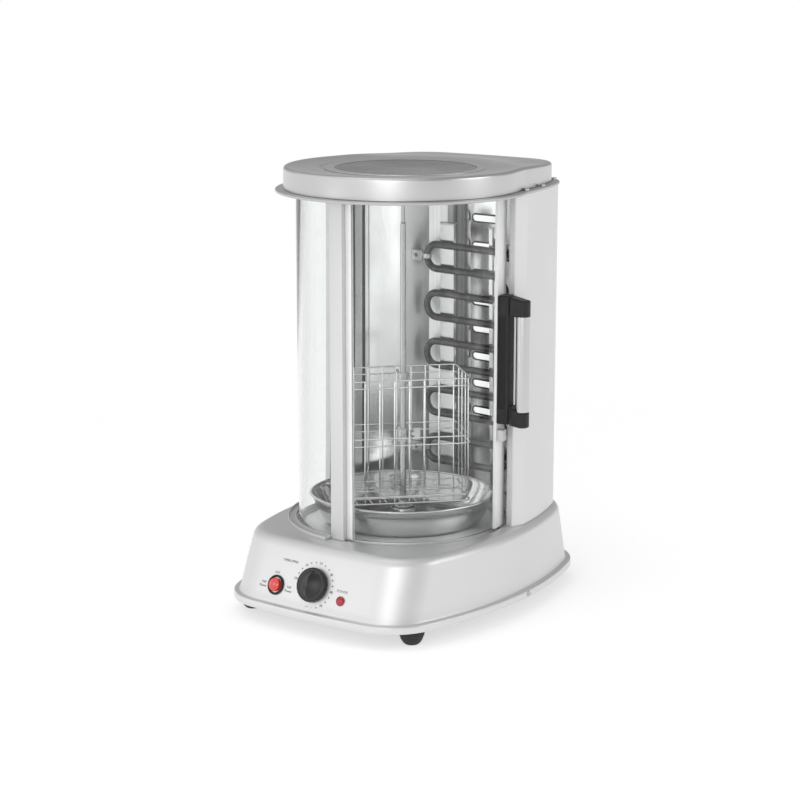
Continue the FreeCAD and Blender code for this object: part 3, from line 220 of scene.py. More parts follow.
def turned_metal(name, colour, rough):
    """Metal turned on a lathe: fine level rings and a few handling marks."""
    f = Finish(name)
    rings = f.noise(1.0, 2, 0.6, (60, 60, 3000))
    marks = f.noise(90, 3, 0.6)
    return f.set(Base_Color=f.mix(marks, shaded(colour, 0.9), colour), Metallic=1.0,
                 Roughness=marks.step(0.4, 0.7, rough, rough + 0.08), Normal=f.bump(rings, 0.3, 0.00002))


def moulded(name, colour, rough, grain, grain_size=900, spread=0.25):
    """Moulded plastic or rubber: a fine leathery grain, worn a little lighter in patches."""
    f = Finish(name)
    worn = f.noise(60, 4, 0.6)
    return f.set(Base_Color=f.mix(worn.step(0.45, 0.75), colour, shaded(colour, 1 + spread, 0.006)),
                 Roughness=worn.step(0.3, 0.7, rough, rough + 0.08), Specular_IOR_Level=0.45,
                 Normal=f.bump(f.cells(grain_size), grain, 0.00008))


def polished(name, colour, rough):
    """Bright plating: a mirror with hairline marks and a hint of haze."""
    f = Finish(name)
    haze = f.noise(45, 3, 0.6)
    hair = f.noise(1.0, 2, 0.5, (1500, 1500, 18))
    return f.set(Base_Color=f.mix(haze, shaded(colour, 0.93), colour), Metallic=1.0,
                 Roughness=haze.step(0.45, 0.8, rough, rough + 0.09), Normal=f.bump(hair, 0.12, 0.00002))


def clear_glass(name):
    """Toughened glass: almost invisible face on, greenish at its edges, with faint wipe marks."""
    f = Finish(name)
    wipe = f.noise(1.0, 3, 0.6, (30, 30, 9))
    rough = wipe.step(0.5, 0.8, 0.0, 0.035) + (f.cells(260) < 0.05) * 0.10
    f.set(Base_Color=(0.97, 0.985, 0.98), Roughness=rough, IOR=1.38, Transmission_Weight=1.0,
          Specular_IOR_Level=0.5)
    see = f.node("ShaderNodeBsdfTransparent", None, {0: (0.93, 0.95, 0.945)})
    blend = f.node("ShaderNodeMixShader", None, {0: f.ray("Shadow")})
    mixer = blend.socket.node
    f.tree.links.new(f.shader.outputs[0], mixer.inputs[1])
    f.tree.links.new(see.socket, mixer.inputs[2])
    f.tree.links.new(blend.socket, f.output.inputs["Surface"])
    return f.material


def reflector_sheet(name):
    """Polished sheet: bright and softly brushed at the sides, duller in the niche at the back, with a dark
    band of painted reflection on the left of the niche.
    """
    f = Finish(name)
    across, depth, _ = f.axes(f.place())
    streaks = f.noise(1.0, 3, 0.6, (260, 260, 0.6))
    fine = f.noise(1.0, 2, 0.5, (900, 900, 6))
    smudge = f.noise(16, 3, 0.55)
    niche = depth.step(0.120, 0.136) * depth.step(0.168, 0.172, 1.0, 0.35)
    # Painted reflection: a dark band on the left side of the niche, where the real sheet mirrors dark
    # surroundings.
    painted_reflection_band = depth.step(0.148, 0.153) * depth.step(0.169, 0.173, 1.0, 0.0) * (across < -0.02)
    bright = f.mix(smudge.step(0.3, 0.75), COLOURS.reflector, shaded(COLOURS.reflector, 0.92))
    dull = f.mix(streaks.step(0.35, 0.65), (0.78, 0.78, 0.78), (0.90, 0.90, 0.895))
    # Colour of the painted reflection band.
    dark = f.mix(streaks.step(0.4, 0.6), (0.16, 0.16, 0.16), (0.42, 0.42, 0.42))
    colour = f.mix(painted_reflection_band, f.mix(niche, bright, dull), dark)
    rough = depth.step(0.096, 0.112, 0.16, 0.40) - depth.step(0.146, 0.172, 0.0, 0.16)
    return f.set(Base_Color=colour, Metallic=1.0, Roughness=rough + (streaks - 0.5) * 0.08,
                 Normal=f.bump(fine, 0.06, 0.00003))


def element_sheath(name):
    """Heating element: dark oxidised sheath, blotched and slightly rough."""
    f = Finish(name)
    blotch = f.noise(70, 5, 0.65)
    fine = f.noise(900, 2, 0.5)
    colour = f.mix(blotch.step(0.35, 0.7), (0.055, 0.052, 0.052), (0.17, 0.16, 0.155))
    return f.set(Base_Color=colour, Metallic=0.75, Roughness=blotch.step(0.3, 0.7, 0.34, 0.52),
                 Normal=f.bump(fine, 0.35, 0.00005))


def red_plastic(name, colour, glow):
    """Red moulding, lit a little from within."""
    f = Finish(name)
    depth = f.noise(300, 2, 0.5)
    return f.set(Base_Color=f.mix(depth, shaded(colour, 0.75), colour), Roughness=0.16,
                 Coat_Weight=0.6, Coat_Roughness=0.05,
                 Emission_Color=f.mix(depth, shaded(colour, 0.6), colour),
                 Emission_Strength=glow, Normal=f.bump(depth, 0.08, 0.0001))


FINISHES = {
    "silver_enamel": lambda name: enamel(name, COLOURS.enamel, 0.62, 0.40, 0.05, 0.10),
    "silver_skin": lambda name: enamel(name, COLOURS.skin, 0.3, 0.42, 0.1, 0.12, 0.18),
    "roof_satin": lambda name: enamel(name, (0.50, 0.50, 0.505), 0.5, 0.40, 0.05, 0.1, 0.15),
    "lid_satin": lambda name: enamel(name, COLOURS.lid, 0.95, 0.30, 0.05, 0.14, 0.18),
    "dark_plate": lambda name: enamel(name, (0.10, 0.10, 0.105), 0.1, 0.5, 0.0, 0.05),
    "grey_post": lambda name: enamel(name, COLOURS.post, 0.5, 0.38, 0.1, 0.08, 0.1),
    "lid_black": lambda name: enamel(name, COLOURS.lid_disc, 0.1, 0.26, 0.35, 0.02, 0.2),
    "foot_rubber": lambda name: moulded(name, (0.018, 0.018, 0.019), 0.62, 0.5, 700),
    "black_plastic": lambda name: moulded(name, (0.006, 0.006, 0.0065), 0.42, 0.35, 1100),
    # Painted shade: a darker, duller black for the handle's face between the brackets behind the grip.
    "recess_black": lambda name: moulded(name, (0.0015, 0.0015, 0.0015), 0.6, 0.3, 1100, spread=0.1),
    # Painted highlight: lighter plastic for thin ribs along the knob's sharp edges.
    "knob_edge": lambda name: moulded(name, (0.11, 0.11, 0.11), 0.3, 0.1, 1300),
    "knob_plastic": lambda name: moulded(name, (0.012, 0.012, 0.013), 0.28, 0.18, 1300),
    "cream_ceramic": lambda name: moulded(name, (0.78, 0.74, 0.64), 0.6, 0.4, 1500, spread=0.06),
    "zinc_screw": lambda name: turned_metal(name, (0.62, 0.62, 0.60), 0.3),
    "motor_steel": lambda name: sheet_metal(name, (0.55, 0.54, 0.50), 0.35, "X"),
    "bush_brass": lambda name: turned_metal(name, (0.72, 0.55, 0.30), 0.32),
    "spit_steel": lambda name: turned_metal(name, (0.50, 0.50, 0.50), 0.2),
    "bright_reflector": reflector_sheet,
    # Painted reflection and painted shade: dark steels for the reflector's bead and strips and for its slot
    # rims.
    "bead_steel": lambda name: sheet_metal(name, (0.20, 0.20, 0.20), 0.3, "Z", 0.1),
    "bead_dark": lambda name: sheet_metal(name, (0.07, 0.07, 0.07), 0.35, "Z", 0.1),
    "bright_ring": lambda name: turned_metal(name, (0.66, 0.66, 0.66), 0.34),
    "rocker_ink": lambda name: moulded(name, (0.75, 0.55, 0.53), 0.5, 0.1, spread=0.05),
    "bracket_steel": lambda name: sheet_metal(name, (0.55, 0.55, 0.545), 0.2, "Z", 0.1, 0.05),
    "bright_trim": lambda name: sheet_metal(name, (0.93, 0.93, 0.935), 0.36, "Z", 0.2, metallic=0.2),
    "pan_steel": lambda name: turned_metal(name, (0.53, 0.53, 0.525), 0.09),
    "chrome_tube": lambda name: polished(name, (0.60, 0.60, 0.605), 0.28),
    "basket_wire": lambda name: polished(name, (0.84, 0.84, 0.84), 0.2),
    "element_sheath": element_sheath,
    "clear_glass": clear_glass,
    "ink": lambda name: moulded(name, COLOURS.ink, 0.5, 0.1, 2000),
    "red_rocker": lambda name: red_plastic(name, COLOURS.rocker, 0.25),
    "red_lens": lambda name: red_plastic(name, COLOURS.lens, 0.2),
}


# --- Surfaces ------------------------------------------------------------------------

class Surface:
    """Grids of points that become one mesh."""

    def __init__(self):
        self.points = []
        self.corners = []
        self.counts = []
        self.total = 0

    def _take(self, points, faces):
        """Keeps points and blocks of faces, each block with one number of corners."""
        self.points.append(np.asarray(points, float).reshape(-1, 3))
        for block in faces:
            block = np.asarray(block) + self.total
            self.corners.append(block.ravel())
            self.counts.append(np.full(len(block), block.shape[1]))
        self.total += len(self.points[-1])
        return self

    def sheet(self, grid, around=False, along=False, caps=False, flip=False):
        """Quads over a grid of rows and columns.

        around closes each row on itself, along closes the last row on the first, and caps puts
        one face on the first and one on the last row.
        """
        grid = np.asarray(grid, float)
        rows, columns = grid.shape[:2]
        index = np.arange(rows * columns).reshape(rows, columns)
        right = np.roll(index, -1, axis=1) if around else index[:, 1:]
        left = index if around else index[:, :-1]
        if along:
            quads = np.stack([left, right, np.roll(right, -1, 0), np.roll(left, -1, 0)], -1)
        else:
            quads = np.stack([left[:-1], right[:-1], right[1:], left[1:]], -1)
        faces = [quads.reshape(-1, 4)]
        if caps:
            faces += [index[0][::-1][None, :], index[-1][None, :]]
        if flip:
            faces = [block[:, ::-1] for block in faces]
        return self._take(grid, faces)

    def patch(self, points, faces):
        """Adds ready triangles."""
        return self._take(points, [faces])

    def lathe(self, profile, centre=(0, 0), steps=96, axis=None, closed=True):
        """Point(i, j) = centre + radius_i * (sin a_j, -cos a_j) at level_i, a_j evenly round.

        A closed profile runs counter-clockwise when radius points right and level up.  An open one
        starts and ends next to the axis, and one small face closes each pole.
        """
        profile = rounded_profile(profile) if isinstance(profile, list) else np.asarray(profile, float)
        angle = whole_turn(steps)
        radius, level = profile[:, 0][:, None], profile[:, 1][:, None]
        grid = np.stack([centre[0] + radius * np.sin(angle), centre[1] - radius * np.cos(angle),
                         level + 0 * angle], -1)
        if axis is not None:
            grid = axis(grid)
        return self.sheet(grid, around=True, along=closed, caps=not closed)

    def sweep(self, path, radius, sides=12, side_way=(0, 0, 1), closed=False):
        """A round tube: point(i, j) = path_i + radius * (cos b_j * across_i + sin b_j * up_i).

        across is the tangent crossed with a way that the path never runs along.
        """
        path = np.asarray(path, float)
        if closed:
            tangent = np.roll(path, -1, 0) - np.roll(path, 1, 0)
        else:
            tangent = np.gradient(path, axis=0)
        tangent /= np.linalg.norm(tangent, axis=1, keepdims=True)
        across = np.cross(tangent, np.asarray(side_way, float))
        across /= np.linalg.norm(across, axis=1, keepdims=True)
        up = np.cross(across, tangent)
        turn = whole_turn(sides)
        radius = np.broadcast_to(np.asarray(radius, float), len(path))[:, None, None]
        ring = np.cos(turn)[None, :, None] * across[:, None] + np.sin(turn)[None, :, None] * up[:, None]
        return self.sheet(path[:, None] + radius * ring, around=True, along=closed,
                          caps=not closed, flip=True)

    def prism(self, outline, low, high, edge=0.0, axis=None):
        """A closed outline carried up, its rims drawn in by a small chamfer."""
        outline = np.asarray(outline, float)
        rows = [(low, outline), (high, outline)]
        if edge:
            small = drawn_in(outline, edge)
            rows = [(low, small), (low + edge, outline), (high - edge, outline), (high, small)]
        grid = np.array([at_level(plan, level) for level, plan in rows])
        if axis is not None:
            grid = axis(grid)
        return self.sheet(grid, around=True, caps=True)

    def arc_bar(self, profile, start, stop, steps=64):
        """A closed (radius, level) profile carried round the axis between two angles, with ends."""
        profile = rounded_profile(profile) if isinstance(profile, list) else np.asarray(profile, float)
        angle = np.radians(np.linspace(start, stop, steps))[:, None]
        radius, level = profile[:, 0][None], profile[:, 1][None]
        grid = np.stack([radius * np.sin(angle), -radius * np.cos(angle), level + 0 * angle], -1)
        return self.sheet(grid, around=True, caps=True, flip=True)

    def piece(self, name, body, finish, replaces=(), slot=None, sharp=32):
        """Makes the mesh, gives it its finish and lets it ride on a body of the frame."""
        points = np.concatenate(self.points)
        points = (points + (0, AXIS_Y, 0)) * MM
        corners = np.concatenate(self.corners)
        counts = np.concatenate(self.counts)
        mesh = bpy.data.meshes.new(name)
        mesh.vertices.add(len(points))
        mesh.vertices.foreach_set("co", points.ravel())
        mesh.loops.add(len(corners))
        mesh.loops.foreach_set("vertex_index", corners)
        mesh.polygons.add(len(counts))
        mesh.polygons.foreach_set("loop_start", np.concatenate([[0], np.cumsum(counts)[:-1]]))
        mesh.polygons.foreach_set("loop_total", counts)
        mesh.update(calc_edges=True)
        mesh.validate()
        mesh.polygons.foreach_set("use_smooth", np.ones(len(mesh.polygons), bool))
        if sharp:
            mesh.set_sharp_from_angle(angle=math.radians(sharp))
        thing = bpy.data.objects.new(name, mesh)
        bpy.context.scene.collection.objects.link(thing)
        mesh.materials.append(finish_named(finish))
        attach(thing, body)
        if replaces:
            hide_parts(*replaces)
        return thing


def whole_turn(steps):
    """Angles evenly round a full turn."""
    return np.linspace(0, TAU, steps, endpoint=False)


def round_points(turn, radius, middle=(0, 0)):
    """Points in a plane on a circle about a middle: middle + radius * (cos turn, sin turn)."""
    return np.column_stack([middle[0] + radius * np.cos(turn), middle[1] + radius * np.sin(turn)])


def at_level(plan, level):
    """Points in plan with a level added."""
    return np.column_stack([plan, np.zeros(len(plan)) + level])


def rounded_profile(corners):
    """A closed outline with rounded corners.

    Each corner is (a, b, radius); between the two tangent points the round is a quadratic
    curve with the corner as its middle control point.
    """
    corners = [(*corner, 0.0)[:3] for corner in corners]
    places = np.array([corner[:2] for corner in corners], float)
    out = []
    for number, (_, _, radius) in enumerate(corners):
        here = places[number]
        before, after = places[number - 1] - here, places[(number + 1) % len(places)] - here
        if radius <= 0:
            out.append(here)
            continue
        reach = min(radius, 0.49 * np.linalg.norm(before), 0.49 * np.linalg.norm(after))
        first = here + before / np.linalg.norm(before) * reach
        last = here + after / np.linalg.norm(after) * reach
        t = np.linspace(0, 1, 6)[:, None]
        out.extend((1 - t) ** 2 * first + 2 * t * (1 - t) * here + t ** 2 * last)
    return np.array(out)


def drawn_in(outline, distance):
    """A counter-clockwise outline moved inwards along its averaged normals."""
    step = np.roll(outline, -1, 0) - np.roll(outline, 1, 0)
    normal = np.column_stack([-step[:, 1], step[:, 0]])
    return outline + normal / np.linalg.norm(normal, axis=1, keepdims=True) * distance


def oval(half_width, front, rear, front_corner, rear_corner, steps=240):
    """A bowed outline of eight tangent arcs, counter-clockwise from the middle of the front.

    The bows share their middles with the skirt's, so an outline drawn in by a distance has
    every radius shorter by it.  Points are spread evenly by turn and length along the arcs.
    """
    side, fore, aft = 450 - (154 - half_width), 900 - (184 - front), 600 - (198 - rear)
    middles = np.array([(0, fore - front), (half_width - side, 10.0), (0, rear - aft),
                        (side - half_width, 10.0)])
    bows = [fore, side, aft, side]
    corners = [front_corner, rear_corner, rear_corner, front_corner]
    rounds = []
    for number, corner in enumerate(corners):
        after = (number + 1) % 4
        ra, rb = bows[number] - corner, bows[after] - corner
        gap = middles[after] - middles[number]
        length = np.hypot(*gap)
        along = (ra * ra - rb * rb + length * length) / (2 * length)
        across = math.sqrt(max(ra * ra - along * along, 0))
        foot = middles[number] + along * gap / length
        side_step = across * np.array([gap[1], -gap[0]]) / length
        sign = 1 if number < 2 else -1
        rounds.append(max(foot + side_step, foot - side_step, key=lambda p: sign * p[0]))
    arcs = []
    for number in range(4):
        before, after = rounds[number - 1], rounds[number]
        following = middles[(number + 1) % 4]
        first = np.arctan2(*(before - middles[number])[::-1])
        last = np.arctan2(*(after - middles[number])[::-1])
        next_start = np.arctan2(*(after - following)[::-1])
        arcs.append((middles[number], bows[number], first, last + TAU * (last < first)))
        arcs.append((after, corners[number], last, next_start + TAU * (next_start < last)))
    points = []
    for middle, radius, first, last in arcs:
        points.append(round_points(np.linspace(first, last, steps // 8, endpoint=False), radius, middle))
    return np.roll(np.concatenate(points), -steps // 16, axis=0)


SKIRT = (154.0, 184.0, 198.0, 62.0, 70.0)
WALL_FOOT = (147.5, 177.5, 191.5, 55.5, 63.5)
DECK = (138.0, 151.0, 187.0, 58.0, 62.0)
SKIRT_TOP, DECK_LEVEL = 25.5, 91.0
WALL_HEIGHT = DECK_LEVEL - SKIRT_TOP
WALL_SLOPE = math.atan2(WALL_FOOT[1] - DECK[1], WALL_HEIGHT)
FRONT_MIDDLE = 716.0
SLOT_LOWEST, SLOT_PITCH, SLOT_HALF, SLOT_ROUND = 182.0, 30.8, 19.0, 4.2
DIAL_AT, SWITCH_AT, LAMP_AT = (0, 52), (-50, 44), (38, 42)


def inset(outline, distance):
    """The sizes of an oval drawn in by a distance."""
    return tuple(size - distance for size in outline)


def on_wall(level):
    """The sizes of the sloping wall's oval at a level, between its foot and the deck."""
    share = (level - SKIRT_TOP) / WALL_HEIGHT
    return tuple(a + (b - a) * share for a, b in zip(WALL_FOOT, DECK))


def on_front_wall(x, level):
    """A function that takes local points onto the sloping front wall, local Z leaving it squarely."""
    radius = FRONT_MIDDLE + WALL_FOOT[1] - (level - SKIRT_TOP) * math.tan(WALL_SLOPE)
    turn = math.asin(x / radius)
    origin = np.array([x, FRONT_MIDDLE - radius * math.cos(turn), level])
    rotation = np.array((Matrix.Rotation(turn, 3, "Z") @ Matrix.Rotation(math.pi / 2 - WALL_SLOPE, 3, "X")))
    return lambda grid: np.asarray(grid, float) @ rotation.T + origin


def box(left, front, right, rear):
    """A rectangle in plan, counter-clockwise."""
    return [(left, front), (right, front), (right, rear), (left, rear)]


def upright(outer, inner, low, high, outer_round=0.0, inner_round=0.0):
    """An upright rectangular (radius, level) section with rounded outer and inner corners."""
    return [(outer, low, outer_round), (outer, high, outer_round), (inner, high, inner_round),
            (inner, low, inner_round)]


def turned_frame(angle):
    """A function that takes points (outwards, across, up) to their place at an angle round the axis."""
    a = math.radians(angle)
    out, side = np.array([math.sin(a), -math.cos(a), 0]), np.array([math.cos(a), math.sin(a), 0])
    basis = np.array([out, side, (0, 0, 1)])
    return lambda grid: np.asarray(grid, float) @ basis


def length(label, description, default, low, high, digits):
    """A length in metres."""
    return FloatProperty(name=label, description=description, default=default, min=low, max=high,
                         unit="LENGTH", precision=digits)


def colour(label, description, default):
    """A colour in linear light."""
    return FloatVectorProperty(name=label, description=description, subtype="COLOR", size=3,
                               min=0, max=1, default=default)


class GrillSizes(bpy.types.PropertyGroup):
    """Sizes that may be changed before the pieces are made."""
    wire: length("Basket wire", "Radius of the basket wire", 0.0008, 0.0004, 0.0015, 4)
    round_steps: IntProperty(name="Round steps", description="Facets round a large turned piece",
                             default=160, min=48, max=360)
    enamel_edge: length("Skirt rounding", "Rounding along the skirt's edges", 0.0014, 0.0005, 0.003, 4)
    glass_edge: length("Glass edge", "Polished rounding of the glass edges", 0.0008, 0.0002, 0.0014, 4)
    print_lift: length("Print thickness", "How far the printed marks stand proud",
                       0.00008, 0.00002, 0.0003, 5)


class GrillColours(bpy.types.PropertyGroup):
    """Colours that may be changed before the pieces are made."""
    enamel: colour("Base enamel", "Silver enamel of the base", (0.72, 0.72, 0.725))
    skin: colour("Housing enamel", "Silver paint of the housing", (0.72, 0.72, 0.725))
    lid: colour("Lid satin", "Satin metal of the lid", (0.6, 0.6, 0.604))
    post: colour("Post", "Grey of the fixed post", (0.62, 0.62, 0.622))
    reflector: colour("Reflector", "Polished sheet behind the food", (0.93, 0.93, 0.925))
    lid_disc: colour("Lid disc", "Dark disc in the lid", (0.017, 0.017, 0.018))
    rocker: colour("Rocker", "Red rocker", (0.62, 0.02, 0.015))
    lens: colour("Lamp", "Red lamp lens", (0.36, 0.01, 0.02))
    ink: colour("Print", "Ink of the dial marks", (0.10, 0.10, 0.105))


class PieceOperator(bpy.types.Operator):
    """Shared part of the operators that make pieces."""
    bl_idname = "grill.piece"
    bl_label = "Piece"

    def execute(self, context):
        self.make(context.scene.grill_sizes)
        return {"FINISHED"}


class GRILL_OT_base(PieceOperator):
    """Skirt, sloping wall, rounded shoulder and deck with its groove."""
    bl_idname = "grill.base"
    bl_label = "Base shell"

    def make(self, sizes):
        """Rows of one grid: each is an oval, and from the groove inwards a circle in the same directions.

        The last rows run back under the deck and down inside the wall, so the shell has a thickness.
        """
        edge, foot, shoulder = sizes.enamel_edge / MM, 2.2, 9.0
        rows = [(inset(SKIRT, back), level) for back, level in
                ((1.2, 24.0), (1.2, 17.9), (1.0, 17.6), (0.6, 17.5), (0.2, 17.6), (0.0, 18.0))]
        for t in np.radians(np.linspace(0, 90, 6)):
            rows.append((inset(SKIRT, edge * (1 - math.cos(t))), SKIRT_TOP - edge * (1 - math.sin(t))))
        for t in np.radians(np.linspace(0, 75, 6)):
            rows.append((inset(WALL_FOOT, foot * 0.8 * (math.sin(t) - 1)),
                         SKIRT_TOP + foot * (1 - math.cos(t))))
        for level in SKIRT_TOP + np.linspace(0.08, 0.8, 8) * (WALL_HEIGHT - shoulder):
            rows.append((on_wall(level), level))
        for t in np.radians(np.linspace(0, 90, 12)):
            level = DECK_LEVEL - shoulder * (1 - math.sin(t))
            rows.append((inset(on_wall(level), shoulder * (1 - math.cos(t))), level))
        rings = [at_level(oval(*outline, steps=480), level) for outline, level in rows]
        way = rings[-1][:, :2] / np.hypot(*rings[-1][:, :2].T)[:, None]
        groove = ((121, 91), (119.2, 91), (118.7, 90.8), (118.5, 90.3), (118.5, 87.3), (118.2, 87),
                  (109.3, 87), (109, 87.3), (109, 90.3), (108.8, 90.8), (108.3, 91), (60, 91), (7, 91))
        under = ((7, 88.8), (104, 88.8), (106, 84.8), (121, 84.8), (123, 88.4))
        rings += [at_level(way * radius, level) for radius, level in groove + under]
        for back, level in ((12, 88.4), (4.5, 82), (3, 60), (3, 30), (3, 25.9)):
            rings.append(at_level(oval(*inset(on_wall(level), back), steps=480), level))
        skin = Surface().sheet(rings, around=True, along=True)
        skin.piece("base_skin", "base", "silver_enamel", ["base_shell"], sharp=40)


class GRILL_OT_feet(PieceOperator):
    """Four rubber feet with a moulded step, bored for the screws up them."""
    bl_idname = "grill.feet"
    bl_label = "Feet"

    def make(self, sizes):
        """One turned (radius, level) section at four places."""
        places = {"foot_front_left": (-108, -138), "foot_front_right": (108, -138),
                  "foot_rear_left": (-88, 148), "foot_rear_right": (88, 148)}
        profile = [(4.5, 0.0, 0.3), (7.0, 0.0, 0.8), (9.6, 2.2, 1.2), (12.0, 6.2, 2.0), (12.9, 9.6, 0.4),
                   (13.4, 9.9, 0.2), (14.0, 14.6, 1.0), (14.0, 17.4, 0.3), (1.8, 17.4), (1.8, 8.0),
                   (4.5, 8.0, 0.3)]
        for name, place in places.items():
            foot = Surface().lathe(profile, place, 48)
            foot.piece(name + "_rubber", "base", "foot_rubber", [name], sharp=35)


class GRILL_OT_glass(PieceOperator):
    """Fixed glass and sliding door glass, with polished edges."""
    bl_idname = "grill.glass"
    bl_label = "Curved glasses"

    def make(self, sizes):
        """Each is a rounded upright section carried round the axis."""
        edge = sizes.glass_edge / MM
        for name, body, node, outer, start, stop, low, high in (
                ("fixed_pane", "base", "fixed_glass", 117.5, -104, -0.5, 92.0, 463.0),
                ("door_pane", "door", "door_glass", 113.2, 1.0, 102.2, 92.0, 460.2)):
            pane = Surface().arc_bar(upright(outer, outer - 3, low, high, edge, edge), start, stop, 110)
            pane.piece(name, body, "clear_glass", [node], sharp=50)


class GRILL_OT_trims(PieceOperator):
    """Bright door profiles, the grey post and the outer gutter of the glass."""
    bl_idname = "grill.trims"
    bl_label = "Posts and trims"

    def make(self, sizes):
        """Each is a set of bars: outer and inner radius, their roundings, two angles and the steps."""
        for name, body, finish, node, low, bars in (
                ("door_leading_profile", "door", "bright_trim", "door_front_profile", 92.0,
                 ((114.1, 108.6, 0.5, 0.5, -0.8, 0.7, 5), (114.1, 113.4, 0.3, 0.0, 0.7, 6.3, 10),
                  (110.0, 108.6, 0.0, 0.4, 0.7, 6.3, 10))),
                ("door_trailing_profile", "door", "bright_trim", "door_rear_profile", 92.0,
                 ((117.0, 113.5, 0.6, 0.0, 95.5, 108.2, 16), (113.5, 108.5, 0.0, 0.6, 102.4, 108.2, 10))),
                ("fixed_post", "base", "grey_post", "glass_post", 91.3,
                 ((121.0, 117.8, 0.5, 0.0, -5.2, 2.8, 14), (117.8, 114.6, 0.0, 0.4, -0.2, 2.8, 8)))):
            trim = Surface()
            for outer, inner, outer_round, inner_round, start, stop, steps in bars:
                trim.arc_bar(upright(outer, inner, low, 460.2, outer_round, inner_round), start, stop, steps)
            trim.piece(name, body, finish, [node], sharp=30)
        gutter = [(130, 91.3), (130, 94.7, 0.8), (128.4, 94.7, 0.8), (128.4, 92.3, 0.6), (121.6, 92.3, 0.6),
                  (121.6, 94.7, 0.8), (120, 94.7, 0.8), (120, 91.3)]
        rail = Surface().arc_bar(gutter, -102, -5.6, 120)
        rail.piece("outer_gutter", "base", "grey_post", ["glass_gutter"], slot="bright_trim", sharp=35)


class GRILL_OT_sheets(PieceOperator):
    """Flange that covers the rear edge of the fixed glass, the stiffening beads of the reflector in the
    colours of painted reflection, and slot rims of painted shade.
    """
    bl_idname = "grill.sheets"
    bl_label = "Flange and beads"

    def make(self, sizes):
        """Beads are half ellipses on the left side sheet, dark grey and near black as painted reflection; the
        rims run round the slots of the niche, near black as painted shade.
        """
        flange = [(-128.9, 47.6), (-128.0, 22.6), (-127.2, 22.0), (-121.6, 23.4), (-121.4, 24.2),
                  (-127.0, 23.0), (-127.3, 23.3), (-128.1, 47.5)]
        Surface().prism(flange, 95.4, 459.4, 0.15).piece("housing_flange", "base", "grey_post", sharp=25)
        start, way = np.array((-116.0, 46.0)), np.array((54.0, 97.0)) / math.hypot(54, 97)
        inward = np.array((way[1], -way[0]))
        turn = np.linspace(0, math.pi, 13)
        # Painted reflection: the bead is dark grey and the two strips near black, where the real sheet
        # mirrors dark surroundings.
        for name, finish, strips in (("reflector_beads", "bead_steel", ((31.0, 0.7, 0.4),)),
                                     ("reflector_joint", "bead_dark", ((10.5, 2.7, 0.8), (24.2, 2.1, 0.7)))):
            beads = Surface()
            for along, half, rise in strips:
                foot = start + way * along + inward * 0.35
                outline = foot + np.cos(turn)[:, None] * half * way + np.sin(turn)[:, None] * rise * inward
                beads.prism(outline[::-1], 96, 456, 0.2)
            beads.piece(name, "base", finish, slot="bright_reflector", sharp=35)
        # Painted shade: near-black rims round the slots of the niche.
        end = round_points(turn - math.pi / 2, SLOT_ROUND, (SLOT_HALF, 0))
        loop = np.concatenate([end, -end])
        line = np.column_stack([loop[:, 0], np.full(len(loop), 180.6), loop[:, 1] + SLOT_LOWEST])
        rims = Surface()
        for number in range(9):
            rims.sweep(line + (0, 0, number * SLOT_PITCH), 0.85, 8, (0, 1, 0), closed=True)
        rims.piece("slot_rims", "base", "bead_dark", slot="bright_reflector", sharp=0)


class GRILL_OT_brackets(PieceOperator):
    """Two upright channels behind the heating element, the right one slim, with their tabs."""
    bl_idname = "grill.brackets"
    bl_label = "Heater brackets"

    def make(self, sizes):
        """Each is a channel outline (wide side to the front) carried up, with a folded lip on top."""
        for name, left, right, tab in (("left", -38, -19, -46), ("right", 32.5, 38, 37)):
            outline = [(left, 131.5), (right, 131.5), (right, 137), (right - 1.2, 137), (right - 1.2, 132.7),
                       (left + 1.2, 132.7), (left + 1.2, 137), (left, 137)]
            channel = Surface().prism(outline, 110, 397, 0.25)
            channel.prism(box(left - 0.8, 130.9, right + 0.8, 138), 397, 398.6, 0.4)
            arm = left if name == "left" else right - 1.2
            for low in (130, 250, 370):
                channel.prism(box(tab, 145.8, tab + 9, 147), low, low + 16, 0.3)
                channel.prism(box(arm, 136.8, arm + 1.2, 146), low, low + 16, 0.3)
            channel.piece(f"heater_channel_{name}", "base", "bracket_steel",
                          [f"heater_bracket_{name}"], sharp=30)


